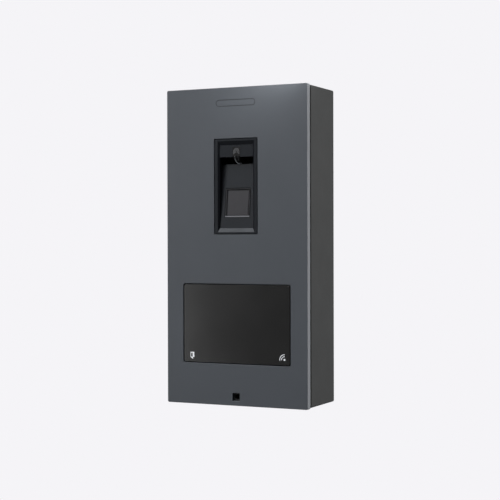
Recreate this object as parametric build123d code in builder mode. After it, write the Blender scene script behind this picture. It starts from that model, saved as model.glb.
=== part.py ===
from build123d import *

import os
from math import asin, atan, cos, degrees, radians, sin

# Wall-mounted fingerprint and card terminal.
# The origin is the centre of the rear face, on the wall. +Z is up, +X is to the right
# of a person who faces the terminal, and -Y points out of the wall, towards that person.
# A length called "out" is a distance from the wall, so its Y is minus that length.

# ---- driving dimensions, mm -------------------------------------------------------
WIDTH = 77.0
HEIGHT = 157.0
DEPTH = 34.0
PLATE_T = 3.0
PLATE_CORNER = 0.8
PLATE_BREAK = 0.15
EDGE_BREAK = 0.3
FIT = 0.2
RUN = 0.05

# Blank name plate: a shallow outline pressed into the plate near its top edge
MARK_W = 21.6
MARK_H = 3.4
MARK_LINE = 0.35
MARK_Z = 70.8
MARK_DEPTH = 0.12

# Wall box
SEAM = 1.4
BOX_INSET = 0.3
BOX_WALL = 2.0
BOX_BACK_T = 2.6
BOX_REAR_ROUND = 0.3
SEAL_W = 1.0
SEAL_INSET = 0.5
SEAL_GROOVE = 0.8

# Finger module
BEZEL_W = 23.5
BEZEL_H = 47.0
FINGER_Z = 29.6
BEZEL_SINK = 0.15
LIP_SIDE = 1.75
LIP_END = 1.0
BEVEL_SIDE = 0.85
BEVEL_END = 1.95
BEVEL_DEPTH = 0.8
RAMP_DEPTH_LOW = 1.1
RAMP_SLOPE = 0.1
RAMP_T = 2.0
RAMP_TOP_Z = 40.8
POCKET_OUT = 25.0
POCKET_WALL = 1.0
PAD_W = 11.5
PAD_H = 12.6
PAD_Z = 21.6
RING_W = 13.3
RING_H = 14.2
RING_SINK = 0.35
RING_GAP_SIDE = 0.2
RING_GAP_END = 0.2
BROW_LOW_Z = 44.2
BROW_HIGH_Z = 50.1
BROW_SINK = 0.9
GUIDE_W = 4.1
TONGUE_TIP_Z = 41.3

# Card reader panel
GLASS_W = 58.2
GLASS_H = 38.9
GLASS_Z = -38.25
GLASS_T = 2.0
GLASS_SINK = 0.05
GLASS_GAP = 0.35
ICON_T = 0.1
TAPE_T = 0.25

# Sound port
PORT = 3.95
PORT_Z = -74.2
DUCT_W = 2.8
DUCT_T = 1.2
SOUND_HOLE_Z = -71.5
SOUND_HOLE_R = 0.8

# Carrier behind the plate
CHASSIS_W = 70.8
CHASSIS_TOP_Z = 72.8
CHASSIS_BOTTOM_Z = -74.5
CHASSIS_FRONT_T = 2.0
CHASSIS_WALL = 1.6
CHASSIS_REAR = 19.0
STUD_X = 30.0
STUD_ROWS = (66.0, 2.0, -67.0)
BOSS_X = 30.4
BOSS_ROWS = (48.0, -10.0, -57.0)

# Swing of the front unit about the top edge of the plate, and its hooks
HOOK_R = 6.0
HOOK_T = 2.0
HOOK_W = 12.0
HOOK_X = 20.0
HOOK_GAP = 0.3
HOOK_START = -28.0
HOOK_END = -80.0

# Main board
BOARD_W = 66.0
BOARD_H = 117.0
BOARD_Z = -6.0
BOARD_T = 1.6

# Lock at the bottom edge
LOCK_OUT = 12.0
LOCK_R = 2.0
LOCK_LENGTH = 4.5
LOCK_PIN_R = 1.25
LOCK_BOSS_TOP_Z = -69.2

# Wall fixing and cable entry
SLOT_X = 48.0
SLOT_Z = 116.0
SLOT_LENGTH = 9.0
SLOT_W = 4.5
CABLE_Z = -14.0
CABLE_HOLE_R = 3.5

# ---- worked-out dimensions --------------------------------------------------------
PLATE_BACK = DEPTH - PLATE_T
BOX_FRONT = PLATE_BACK - SEAM
BOX_W = WIDTH - 2 * BOX_INSET
BOX_H = HEIGHT - 2 * BOX_INSET
BOX_INNER_TOP_Z = BOX_H / 2 - BOX_WALL
CHASSIS_INNER = PLATE_BACK - CHASSIS_FRONT_T
CHASSIS_MID_Z = (CHASSIS_TOP_Z + CHASSIS_BOTTOM_Z) / 2
CHASSIS_H = CHASSIS_TOP_Z - CHASSIS_BOTTOM_Z
BEZEL_FRONT = DEPTH - BEZEL_SINK
OPENING_W = BEZEL_W - 2 * (LIP_SIDE + BEVEL_SIDE)
OPENING_H = BEZEL_H - 2 * (LIP_END + BEVEL_END)
OPENING_LOW_Z = FINGER_Z - OPENING_H / 2
OPENING_HIGH_Z = FINGER_Z + OPENING_H / 2
RAMP_ANGLE = atan(RAMP_SLOPE)
BOARD_REAR = CHASSIS_REAR - BOARD_T
HALF_H = HEIGHT / 2

os.makedirs("parts", exist_ok=True)


def layer(out):
    """Plane parallel to the wall, at a distance out from it, with +X right and +Z up."""
    return Plane.XZ.offset(out)


def ramp_out(z):
    """How far the finger ramp stands out from the wall at a height."""
    return DEPTH - RAMP_DEPTH_LOW - RAMP_SLOPE * (z - OPENING_LOW_Z)


def about_pivot(radius, angle):
    """Point (y, z) on an arc about the swing axis, the top rear edge of the plate."""
    y = -PLATE_BACK + radius * cos(radians(angle))
    z = HALF_H + radius * sin(radians(angle))
    return (y, z)


def save(piece, label):
    """Name a finished piece and write it."""
    piece.part.label = label
    export_step(piece.part, f"parts/{label}.step")


# ---- front plate ------------------------------------------------------------------
FINGER_WINDOW_CORNER = 0.5
GLASS_WINDOW_CORNER = 1.0
PORT_CORNER = 0.4
with BuildPart() as front_plate:
    with BuildSketch(layer(PLATE_BACK)):
        RectangleRounded(WIDTH, HEIGHT, PLATE_CORNER)
        with Locations((0, FINGER_Z)):
            window = (BEZEL_W + 2 * FIT, BEZEL_H + 2 * FIT)
            RectangleRounded(*window, FINGER_WINDOW_CORNER, mode=Mode.SUBTRACT)
        with Locations((0, GLASS_Z)):
            window = (GLASS_W + 2 * GLASS_GAP, GLASS_H + 2 * GLASS_GAP)
            RectangleRounded(*window, GLASS_WINDOW_CORNER, mode=Mode.SUBTRACT)
        with Locations((0, PORT_Z)):
            RectangleRounded(PORT, PORT, PORT_CORNER, mode=Mode.SUBTRACT)
    extrude(amount=PLATE_T)
    fillet(front_plate.faces().sort_by(Axis.Y)[0].edges(), PLATE_BREAK)
    with BuildSketch(layer(DEPTH)):
        with Locations((0, MARK_Z)):
            SlotOverall(MARK_W, MARK_H)
            SlotOverall(MARK_W - 2 * MARK_LINE, MARK_H - 2 * MARK_LINE, mode=Mode.SUBTRACT)
    extrude(amount=-MARK_DEPTH, mode=Mode.SUBTRACT)
save(front_plate, "front_plate")

# Six studs welded to the back of the plate, and their nuts.
STUD_R = 1.5
STUD_LENGTH = 6.0
NUT_T = 2.4
NUT_R = 3.17
stud_points = [(x, z) for x in (-STUD_X, STUD_X) for z in STUD_ROWS]
with BuildPart() as plate_studs:
    with BuildSketch(layer(PLATE_BACK)):
        with Locations(*stud_points):
            Circle(STUD_R)
    extrude(amount=-STUD_LENGTH)
    chamfer(plate_studs.edges().group_by(Axis.Y)[-1], EDGE_BREAK)
save(plate_studs, "plate_studs")

with BuildPart() as stud_nuts:
    with BuildSketch(layer(CHASSIS_INNER)):
        with Locations(*stud_points):
            RegularPolygon(NUT_R, 6)
            Circle(STUD_R + RUN, mode=Mode.SUBTRACT)
    extrude(amount=-NUT_T)
save(stud_nuts, "stud_nuts")

# ---- card reader panel ------------------------------------------------------------
GLASS_FRONT = DEPTH - GLASS_SINK
GLASS_BACK = GLASS_FRONT - GLASS_T
DOOR_X = -24.4
DOOR_Z = -54.0
DOOR_W = 2.1
DOOR_H = 2.6
LEAF_DROP = 0.9
LEAF_HINGE = 0.3
KEYHOLE_W = 0.9
KEYHOLE_H = 2.0
KEYHOLE_SHIFT = (-0.3, -0.1)
WAVE_X = 26.15
WAVE_Z = -54.85
WAVE_DOT_R = 0.5
WAVE_STROKE = 0.32
WAVE_RADII = (1.55, 2.5)
WAVE_START = 86.0
WAVE_SWEEP = 104.0
GLASS_CORNER = 1.0
GLASS_CHAMFER = 0.2

with BuildSketch(layer(GLASS_FRONT)) as door_outline:
    with Locations((DOOR_X, DOOR_Z)):
        Rectangle(DOOR_W, DOOR_H)
    with BuildLine():
        left = DOOR_X - DOOR_W / 2
        low = DOOR_Z - DOOR_H / 2
        hinge = DOOR_X + LEAF_HINGE
        Polyline((left, low), (hinge, low - LEAF_DROP), (hinge, low), (left, low))
    make_face()
    with Locations((DOOR_X + KEYHOLE_SHIFT[0], DOOR_Z + KEYHOLE_SHIFT[1])):
        Rectangle(KEYHOLE_W, KEYHOLE_H, mode=Mode.SUBTRACT)

with BuildSketch(layer(GLASS_FRONT)) as wave_outline:
    with Locations((WAVE_X, WAVE_Z)):
        Circle(WAVE_DOT_R)
    for radius in WAVE_RADII:
        with BuildLine():
            CenterArc((WAVE_X, WAVE_Z), radius, WAVE_START, WAVE_SWEEP)
        trace(line_width=WAVE_STROKE)

with BuildPart() as glass_panel:
    with BuildSketch(layer(GLASS_BACK)):
        with Locations((0, GLASS_Z)):
            RectangleRounded(GLASS_W, GLASS_H, GLASS_CORNER)
    extrude(amount=GLASS_T)
    chamfer(glass_panel.faces().sort_by(Axis.Y)[0].edges(), GLASS_CHAMFER)
    extrude(door_outline.sketch, amount=-ICON_T, mode=Mode.SUBTRACT)
    extrude(wave_outline.sketch, amount=-ICON_T, mode=Mode.SUBTRACT)
save(glass_panel, "glass_panel")

with BuildPart() as door_icon:
    extrude(door_outline.sketch, amount=-ICON_T)
save(door_icon, "door_icon")

with BuildPart() as wireless_icon:
    extrude(wave_outline.sketch, amount=-ICON_T)
save(wireless_icon, "wireless_icon")

TAPE_W = 3.0
TAPE_OUTER = (GLASS_W - 1.0, GLASS_H - 1.0)
TAPE_BACK = GLASS_BACK - TAPE_T
with BuildPart() as panel_tape:
    with BuildSketch(layer(TAPE_BACK)):
        with Locations((0, GLASS_Z)):
            RectangleRounded(*TAPE_OUTER, GLASS_CORNER)
            Rectangle(TAPE_OUTER[0] - 2 * TAPE_W, TAPE_OUTER[1] - 2 * TAPE_W, mode=Mode.SUBTRACT)
    extrude(amount=TAPE_T)
save(panel_tape, "panel_tape")

# Circuit board behind the glass, with its antenna, ferrite sheet and icon lamps.
READER_W = 53.8
READER_H = 36.0
READER_T = 1.2
STAKE_X = 50.8
STAKE_Z = 33.0
STAKE_R = 0.9
STAKE_HEAD = 0.5
READER_REAR = CHASSIS_INNER - READER_T
lamp_points = [(-22.5, -51.1), (22.15, -51.85)]
with BuildPart() as reader_board:
    with BuildSketch(layer(READER_REAR)):
        with Locations((0, GLASS_Z)):
            Rectangle(READER_W, READER_H)
            with GridLocations(STAKE_X, STAKE_Z, 2, 2):
                Circle(STAKE_R + RUN, mode=Mode.SUBTRACT)
    extrude(amount=READER_T)
save(reader_board, "reader_board")

COIL_W = 44.0
COIL_H = 28.0
COIL_TURNS = 4
COIL_PITCH = 1.5
COIL_TRACK = 0.8
COIL_T = 0.15
FERRITE_MARGIN = 1.5
FERRITE_T = 0.4
spiral = []
for turn in range(COIL_TURNS):
    half_w = COIL_W / 2 - turn * COIL_PITCH
    half_h = COIL_H / 2 - turn * COIL_PITCH
    spiral += [
        (-half_w, GLASS_Z - half_h),
        (-half_w, GLASS_Z + half_h),
        (half_w, GLASS_Z + half_h),
        (half_w, GLASS_Z - half_h),
        (-half_w + COIL_PITCH, GLASS_Z - half_h),
    ]
with BuildPart() as antenna_coil:
    with BuildSketch(layer(READER_REAR)):
        with BuildLine():
            Polyline(*[point for i, point in enumerate(spiral) if i == 0 or i % 5 != 0])
        trace(line_width=COIL_TRACK)
    extrude(amount=-COIL_T)
save(antenna_coil, "antenna_coil")

with BuildPart() as ferrite_sheet:
    with BuildSketch(layer(READER_REAR - COIL_T)):
        with Locations((0, GLASS_Z)):
            Rectangle(COIL_W + 2 * FERRITE_MARGIN, COIL_H + 2 * FERRITE_MARGIN)
    extrude(amount=-FERRITE_T)
save(ferrite_sheet, "ferrite_sheet")

LAMP_W = 1.6
LAMP_H = 0.8
LAMP_T = 0.6
with BuildPart() as icon_leds:
    with BuildSketch(layer(CHASSIS_INNER)):
        with Locations(*lamp_points):
            Rectangle(LAMP_W, LAMP_H)
    extrude(amount=LAMP_T)
save(icon_leds, "icon_leds")

# ---- finger module ----------------------------------------------------------------
BEZEL_REAR = 21.6
BEZEL_CORNER = 0.4
BEZEL_BREAK = 0.2
FLANGE_REACH = 2.2
FLANGE_W = BEZEL_W + 2 * FLANGE_REACH
FLANGE_H = BEZEL_H + 2 * FLANGE_REACH
FLANGE_T = 1.2
FLANGE_CORNER = 1.0
MODULE_SCREW_INSET = 1.35
MODULE_SCREW_X = BEZEL_W - 2 * MODULE_SCREW_INSET
MODULE_SCREW_Z = BEZEL_H - 2 * MODULE_SCREW_INSET
MODULE_SCREW_R = 0.75
MODULE_SCREW_GRIP = 4.5
MODULE_SCREW_END = 0.5
with BuildPart() as finger_bezel:
    with BuildSketch(layer(BEZEL_REAR)):
        with Locations((0, FINGER_Z)):
            RectangleRounded(BEZEL_W, BEZEL_H, BEZEL_CORNER)
    extrude(amount=BEZEL_FRONT - BEZEL_REAR)
    chamfer(finger_bezel.faces().sort_by(Axis.Y)[0].edges(), BEZEL_BREAK)
    with BuildSketch(layer(PLATE_BACK - FLANGE_T)):
        with Locations((0, FINGER_Z)):
            RectangleRounded(FLANGE_W, FLANGE_H, FLANGE_CORNER)
    extrude(amount=FLANGE_T)
    with BuildSketch(layer(BEZEL_REAR)):
        with Locations((0, FINGER_Z)):
            Rectangle(OPENING_W, OPENING_H)
    extrude(amount=DEPTH - BEZEL_REAR, mode=Mode.SUBTRACT)
    with BuildSketch(layer(BEZEL_FRONT - BEVEL_DEPTH)) as bevel_low:
        with Locations((0, FINGER_Z)):
            Rectangle(OPENING_W, OPENING_H)
    with BuildSketch(layer(BEZEL_FRONT)) as bevel_high:
        with Locations((0, FINGER_Z)):
            Rectangle(BEZEL_W - 2 * LIP_SIDE, BEZEL_H - 2 * LIP_END)
    loft([bevel_low.sketch, bevel_high.sketch], ruled=True, mode=Mode.SUBTRACT)
    with BuildSketch(layer(BEZEL_REAR)):
        with Locations((0, FINGER_Z)):
            with GridLocations(MODULE_SCREW_X, MODULE_SCREW_Z, 2, 2):
                Circle(MODULE_SCREW_R)
    extrude(amount=MODULE_SCREW_GRIP + MODULE_SCREW_END, mode=Mode.SUBTRACT)
save(finger_bezel, "finger_bezel")

# The ramp plane lies on the cradle's sloped face, at the centre of the sensor.
pad_normal = (0, -cos(RAMP_ANGLE), sin(RAMP_ANGLE))
RAMP_PLANE = Plane(origin=(0, -ramp_out(PAD_Z), PAD_Z), x_dir=(1, 0, 0), z_dir=pad_normal)
CRADLE_W = OPENING_W - 2 * RUN
CRADLE_LOW_Z = OPENING_LOW_Z + RUN
CRADLE_HIGH_Z = OPENING_HIGH_Z - RUN
STEM_W = 3.0
STEM_H = 3.0
STEM_Z = 47.2
RING_CORNER = 0.4
RIM_BREAK = 0.15
HOLE_W = RING_W + 2 * RING_GAP_SIDE
HOLE_H = RING_H + 2 * RING_GAP_END
step_low_z = RAMP_TOP_Z - RAMP_T
with BuildPart() as finger_cradle:
    with BuildSketch(Plane.YZ.offset(-CRADLE_W / 2)):
        with BuildLine():
            Polyline(
                (-ramp_out(CRADLE_LOW_Z), CRADLE_LOW_Z),
                (-ramp_out(RAMP_TOP_Z), RAMP_TOP_Z),
                (-POCKET_OUT, RAMP_TOP_Z),
                (-POCKET_OUT, CRADLE_HIGH_Z),
                (-POCKET_OUT + POCKET_WALL, CRADLE_HIGH_Z),
                (-POCKET_OUT + POCKET_WALL, step_low_z),
                (-ramp_out(step_low_z) + RAMP_T, step_low_z),
                (-ramp_out(CRADLE_LOW_Z) + RAMP_T, CRADLE_LOW_Z),
                close=True,
            )
        make_face()
    extrude(amount=CRADLE_W)
    with BuildSketch(RAMP_PLANE):
        RectangleRounded(HOLE_W, HOLE_H, RING_CORNER)
    extrude(amount=-2 * RAMP_T, mode=Mode.SUBTRACT)
    ramp_face = finger_cradle.faces().filter_by(RAMP_PLANE).sort_by(Axis.Y)[0]
    chamfer(ramp_face.inner_wires()[0].edges(), RIM_BREAK)
    with BuildSketch(layer(BEZEL_REAR)):
        with Locations((0, STEM_Z)):
            Rectangle(STEM_W + 2 * RUN, STEM_H + 2 * RUN)
    extrude(amount=DEPTH - BEZEL_REAR, mode=Mode.SUBTRACT)
save(finger_cradle, "finger_cradle")

PAD_GROOVE = 0.15
PAD_T = 1.0
PAD_CORNER = 0.3
PAD_BREAK = 0.1
RING_FLAT = 0.4
with BuildPart() as sensor_ring:
    with BuildSketch(RAMP_PLANE):
        RectangleRounded(RING_W, RING_H, RING_CORNER)
    extrude(amount=-RAMP_T + RUN)
    with BuildSketch(RAMP_PLANE):
        Rectangle(PAD_W + 2 * PAD_GROOVE, PAD_H + 2 * PAD_GROOVE)
    extrude(amount=-RAMP_T, mode=Mode.SUBTRACT)
    with BuildSketch(RAMP_PLANE.offset(-RING_SINK)) as ring_low:
        Rectangle(PAD_W + 2 * PAD_GROOVE, PAD_H + 2 * PAD_GROOVE)
    with BuildSketch(RAMP_PLANE) as ring_high:
        Rectangle(RING_W - 2 * RING_FLAT, RING_H - 2 * RING_FLAT)
    loft([ring_low.sketch, ring_high.sketch], ruled=True, mode=Mode.SUBTRACT)
save(sensor_ring, "sensor_ring")

with BuildPart() as sensor_pad:
    with BuildSketch(RAMP_PLANE.offset(-RING_SINK)):
        RectangleRounded(PAD_W, PAD_H, PAD_CORNER)
    extrude(amount=-PAD_T)
    chamfer(sensor_pad.faces().sort_by(Axis.Y)[0].edges(), PAD_BREAK)
save(sensor_pad, "sensor_pad")

SENSOR_BOARD_W = 16.4
SENSOR_BOARD_H = 19.0
SENSOR_BOARD_T = 0.8
SENSOR_CHIP_INSET = 0.5
with BuildPart() as sensor_board:
    with BuildSketch(RAMP_PLANE.offset(-RAMP_T)):
        Rectangle(SENSOR_BOARD_W, SENSOR_BOARD_H)
    extrude(amount=-SENSOR_BOARD_T)
    with BuildSketch(RAMP_PLANE.offset(-RAMP_T)):
        Rectangle(PAD_W - 2 * SENSOR_CHIP_INSET, PAD_H - 2 * SENSOR_CHIP_INSET)
    extrude(amount=RAMP_T - RING_SINK - PAD_T)
save(sensor_board, "sensor_board")

# Brow at the head of the recess: a panel on two cheeks, with a window for the light guide.
BROW_FRONT = DEPTH - BROW_SINK
BROW_T = 1.2
CHEEK_T = 1.5
BROW_MID_Z = (BROW_LOW_Z + BROW_HIGH_Z) / 2
BROW_H = BROW_HIGH_Z - BROW_LOW_Z
WINDOW_H = 5.0
WINDOW_Z = BROW_LOW_Z + WINDOW_H / 2
WINDOW_RUNOUT = 1.0
CHEEK_H = 4.0
CHEEK_DEPTH = BROW_FRONT - BROW_T - POCKET_OUT - RUN
with BuildPart() as brow_panel:
    with BuildSketch(layer(BROW_FRONT)):
        with Locations((0, BROW_MID_Z)):
            Rectangle(CRADLE_W, BROW_H)
        with Locations((0, WINDOW_Z - WINDOW_RUNOUT / 2)):
            Rectangle(GUIDE_W + 2 * RUN, WINDOW_H + WINDOW_RUNOUT, mode=Mode.SUBTRACT)
    extrude(amount=-BROW_T)
    with BuildSketch(layer(BROW_FRONT - BROW_T)):
        with Locations((0, BROW_HIGH_Z - CHEEK_H / 2)):
            with GridLocations(CRADLE_W - CHEEK_T, 0, 2, 1):
                Rectangle(CHEEK_T, CHEEK_H)
    extrude(amount=-CHEEK_DEPTH)
save(brow_panel, "brow_panel")

# Light guide: a window block, a stem back to the lamps, and a tongue that curves into the recess.
GUIDE_FRONT = BROW_FRONT + RUN
GUIDE_T = 1.5
TONGUE_T = 0.9
TONGUE_BACK = 5.2
TONGUE_TOP_Z = BROW_LOW_Z + 0.4
TONGUE_ROOT_Z = TONGUE_TOP_Z + 0.6
TONGUE_TIP_W = 2.0
BEND_OUT = (0.29, 0.71)
BEND_IN = (0.33, 0.38)
MODULE_BOARD_FRONT = 23.3
tongue_drop = TONGUE_TOP_Z - TONGUE_TIP_Z
with BuildPart() as light_guide:
    with BuildSketch(Plane.YZ.offset(-GUIDE_W / 2)):
        with BuildLine():
            front_y = -GUIDE_FRONT
            back_y = front_y + TONGUE_BACK
            tip_top = TONGUE_TIP_Z + TONGUE_T
            guide_back_y = front_y + GUIDE_T
            bend_out = (front_y + BEND_OUT[0] * TONGUE_BACK, TONGUE_TOP_Z - BEND_OUT[1] * tongue_drop)
            bend_in_y = front_y + TONGUE_T + BEND_IN[0] * (TONGUE_BACK - TONGUE_T)
            bend_in = (bend_in_y, tip_top + BEND_IN[1] * tongue_drop)
            Line((front_y, BROW_LOW_Z + WINDOW_H), (front_y, TONGUE_TOP_Z))
            ThreePointArc((front_y, TONGUE_TOP_Z), bend_out, (back_y, TONGUE_TIP_Z))
            Line((back_y, TONGUE_TIP_Z), (back_y, tip_top))
            ThreePointArc((back_y, tip_top), bend_in, (guide_back_y, TONGUE_ROOT_Z))
            Line((guide_back_y, TONGUE_ROOT_Z), (guide_back_y, BROW_LOW_Z + WINDOW_H))
            Line((guide_back_y, BROW_LOW_Z + WINDOW_H), (front_y, BROW_LOW_Z + WINDOW_H))
        make_face()
    extrude(amount=GUIDE_W)
    with BuildSketch(layer(BEZEL_REAR)):
        with BuildLine():
            Polyline(
                (-TONGUE_TIP_W / 2, TONGUE_TIP_Z),
                (TONGUE_TIP_W / 2, TONGUE_TIP_Z),
                (GUIDE_W / 2, TONGUE_TOP_Z),
                (GUIDE_W / 2, BROW_HIGH_Z),
                (-GUIDE_W / 2, BROW_HIGH_Z),
                (-GUIDE_W / 2, TONGUE_TOP_Z),
                close=True,
            )
        make_face()
    extrude(amount=DEPTH - BEZEL_REAR, mode=Mode.INTERSECT)
    with BuildSketch(layer(MODULE_BOARD_FRONT + LAMP_T + RUN)):
        with Locations((0, STEM_Z)):
            Rectangle(STEM_W, STEM_H)
    extrude(amount=GUIDE_FRONT - GUIDE_T - MODULE_BOARD_FRONT - LAMP_T - RUN)
save(light_guide, "light_guide")

# Raised mark on the light guide: three nested arches.
ARCH_RADII = (0.45, 0.95, 1.45)
ARCH_Z = WINDOW_Z + 0.2
ARCH_LEG = 0.6
ARCH_LEG_GROWTH = 0.5
ARCH_STROKE = 0.24
ARCH_RISE = 0.08
with BuildPart() as finger_icon:
    with BuildSketch(layer(GUIDE_FRONT)):
        for radius in ARCH_RADII:
            leg = ARCH_LEG + radius * ARCH_LEG_GROWTH
            with BuildLine():
                Line((-radius, ARCH_Z - leg), (-radius, ARCH_Z))
                ThreePointArc((-radius, ARCH_Z), (0, ARCH_Z + radius), (radius, ARCH_Z))
                Line((radius, ARCH_Z), (radius, ARCH_Z - leg))
            trace(line_width=ARCH_STROKE)
    extrude(amount=ARCH_RISE)
save(finger_icon, "finger_icon")

MODULE_BOARD_T = 1.0
MODULE_BOARD_H = 20.3
with BuildPart() as module_board:
    with BuildSketch(layer(MODULE_BOARD_FRONT)):
        with Locations((0, OPENING_HIGH_Z - FIT - MODULE_BOARD_H / 2)):
            Rectangle(OPENING_W - 2 * FIT, MODULE_BOARD_H)
    extrude(amount=-MODULE_BOARD_T)
save(module_board, "module_board")

with BuildPart() as status_leds:
    with BuildSketch(layer(MODULE_BOARD_FRONT)):
        with Locations((0, STEM_Z)):
            with GridLocations(LAMP_W, 0, 2, 1):
                Rectangle(LAMP_H, LAMP_W)
    extrude(amount=LAMP_T)
save(status_leds, "status_leds")

COVER_T = 1.2
COVER_CORNER = 1.0
FLEX_Z = OPENING_LOW_Z + 3.2
FLEX_SLOT_W = 9.0
FLEX_SLOT_H = 1.2
with BuildPart() as module_cover:
    with BuildSketch(layer(BEZEL_REAR)):
        with Locations((0, FINGER_Z)):
            RectangleRounded(BEZEL_W, BEZEL_H, COVER_CORNER)
            with GridLocations(MODULE_SCREW_X, MODULE_SCREW_Z, 2, 2):
                Circle(MODULE_SCREW_R + RUN, mode=Mode.SUBTRACT)
        with Locations((0, FLEX_Z)):
            Rectangle(FLEX_SLOT_W, FLEX_SLOT_H, mode=Mode.SUBTRACT)
    extrude(amount=-COVER_T)
save(module_cover, "module_cover")

MODULE_HEAD_R = 1.35
MODULE_HEAD_T = 0.9
MODULE_HEX_R = 0.7
MODULE_HEX_DEPTH = 0.5
with BuildPart() as module_screws:
    with BuildSketch(layer(BEZEL_REAR - COVER_T)):
        with Locations((0, FINGER_Z)):
            with GridLocations(MODULE_SCREW_X, MODULE_SCREW_Z, 2, 2):
                Circle(MODULE_SCREW_R)
    extrude(amount=COVER_T + MODULE_SCREW_GRIP)
    with BuildSketch(layer(BEZEL_REAR - COVER_T)):
        with Locations((0, FINGER_Z)):
            with GridLocations(MODULE_SCREW_X, MODULE_SCREW_Z, 2, 2):
                Circle(MODULE_HEAD_R)
    extrude(amount=-MODULE_HEAD_T)
    with BuildSketch(layer(BEZEL_REAR - COVER_T - MODULE_HEAD_T)):
        with Locations((0, FINGER_Z)):
            with GridLocations(MODULE_SCREW_X, MODULE_SCREW_Z, 2, 2):
                RegularPolygon(MODULE_HEX_R, 6)
    extrude(amount=MODULE_HEX_DEPTH, mode=Mode.SUBTRACT)
save(module_screws, "module_screws")

# Ribbon from the sensor board, out through the slot in the module cover, to the main board.
FLEX_W = 8.0
FLEX_T = 0.3
FLEX_END_Z = FLEX_Z - 6.4
FLEX_TAIL = 1.2
FLEX_BEHIND = 1.3
SOCKET_W = 10.0
SOCKET_H = 3.5
SOCKET_T = 2.0
flex_front_y = -ramp_out(FLEX_Z) + RAMP_T + FLEX_BEHIND
flex_rear_y = -CHASSIS_REAR - SOCKET_T / 2
with BuildPart() as sensor_flex:
    with BuildSketch(Plane.YZ.offset(-FLEX_W / 2)):
        with BuildLine():
            Polyline(
                (flex_front_y, FLEX_Z + FLEX_TAIL),
                (flex_front_y, FLEX_Z),
                (flex_rear_y, FLEX_Z),
                (flex_rear_y, FLEX_END_Z),
            )
        trace(line_width=FLEX_T)
    extrude(amount=FLEX_W)
save(sensor_flex, "sensor_flex")

with BuildPart() as flex_socket:
    with BuildSketch(layer(CHASSIS_REAR)):
        with Locations((0, FLEX_END_Z - SOCKET_H / 2)):
            Rectangle(SOCKET_W, SOCKET_H)
    extrude(amount=SOCKET_T)
save(flex_socket, "flex_socket")

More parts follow.
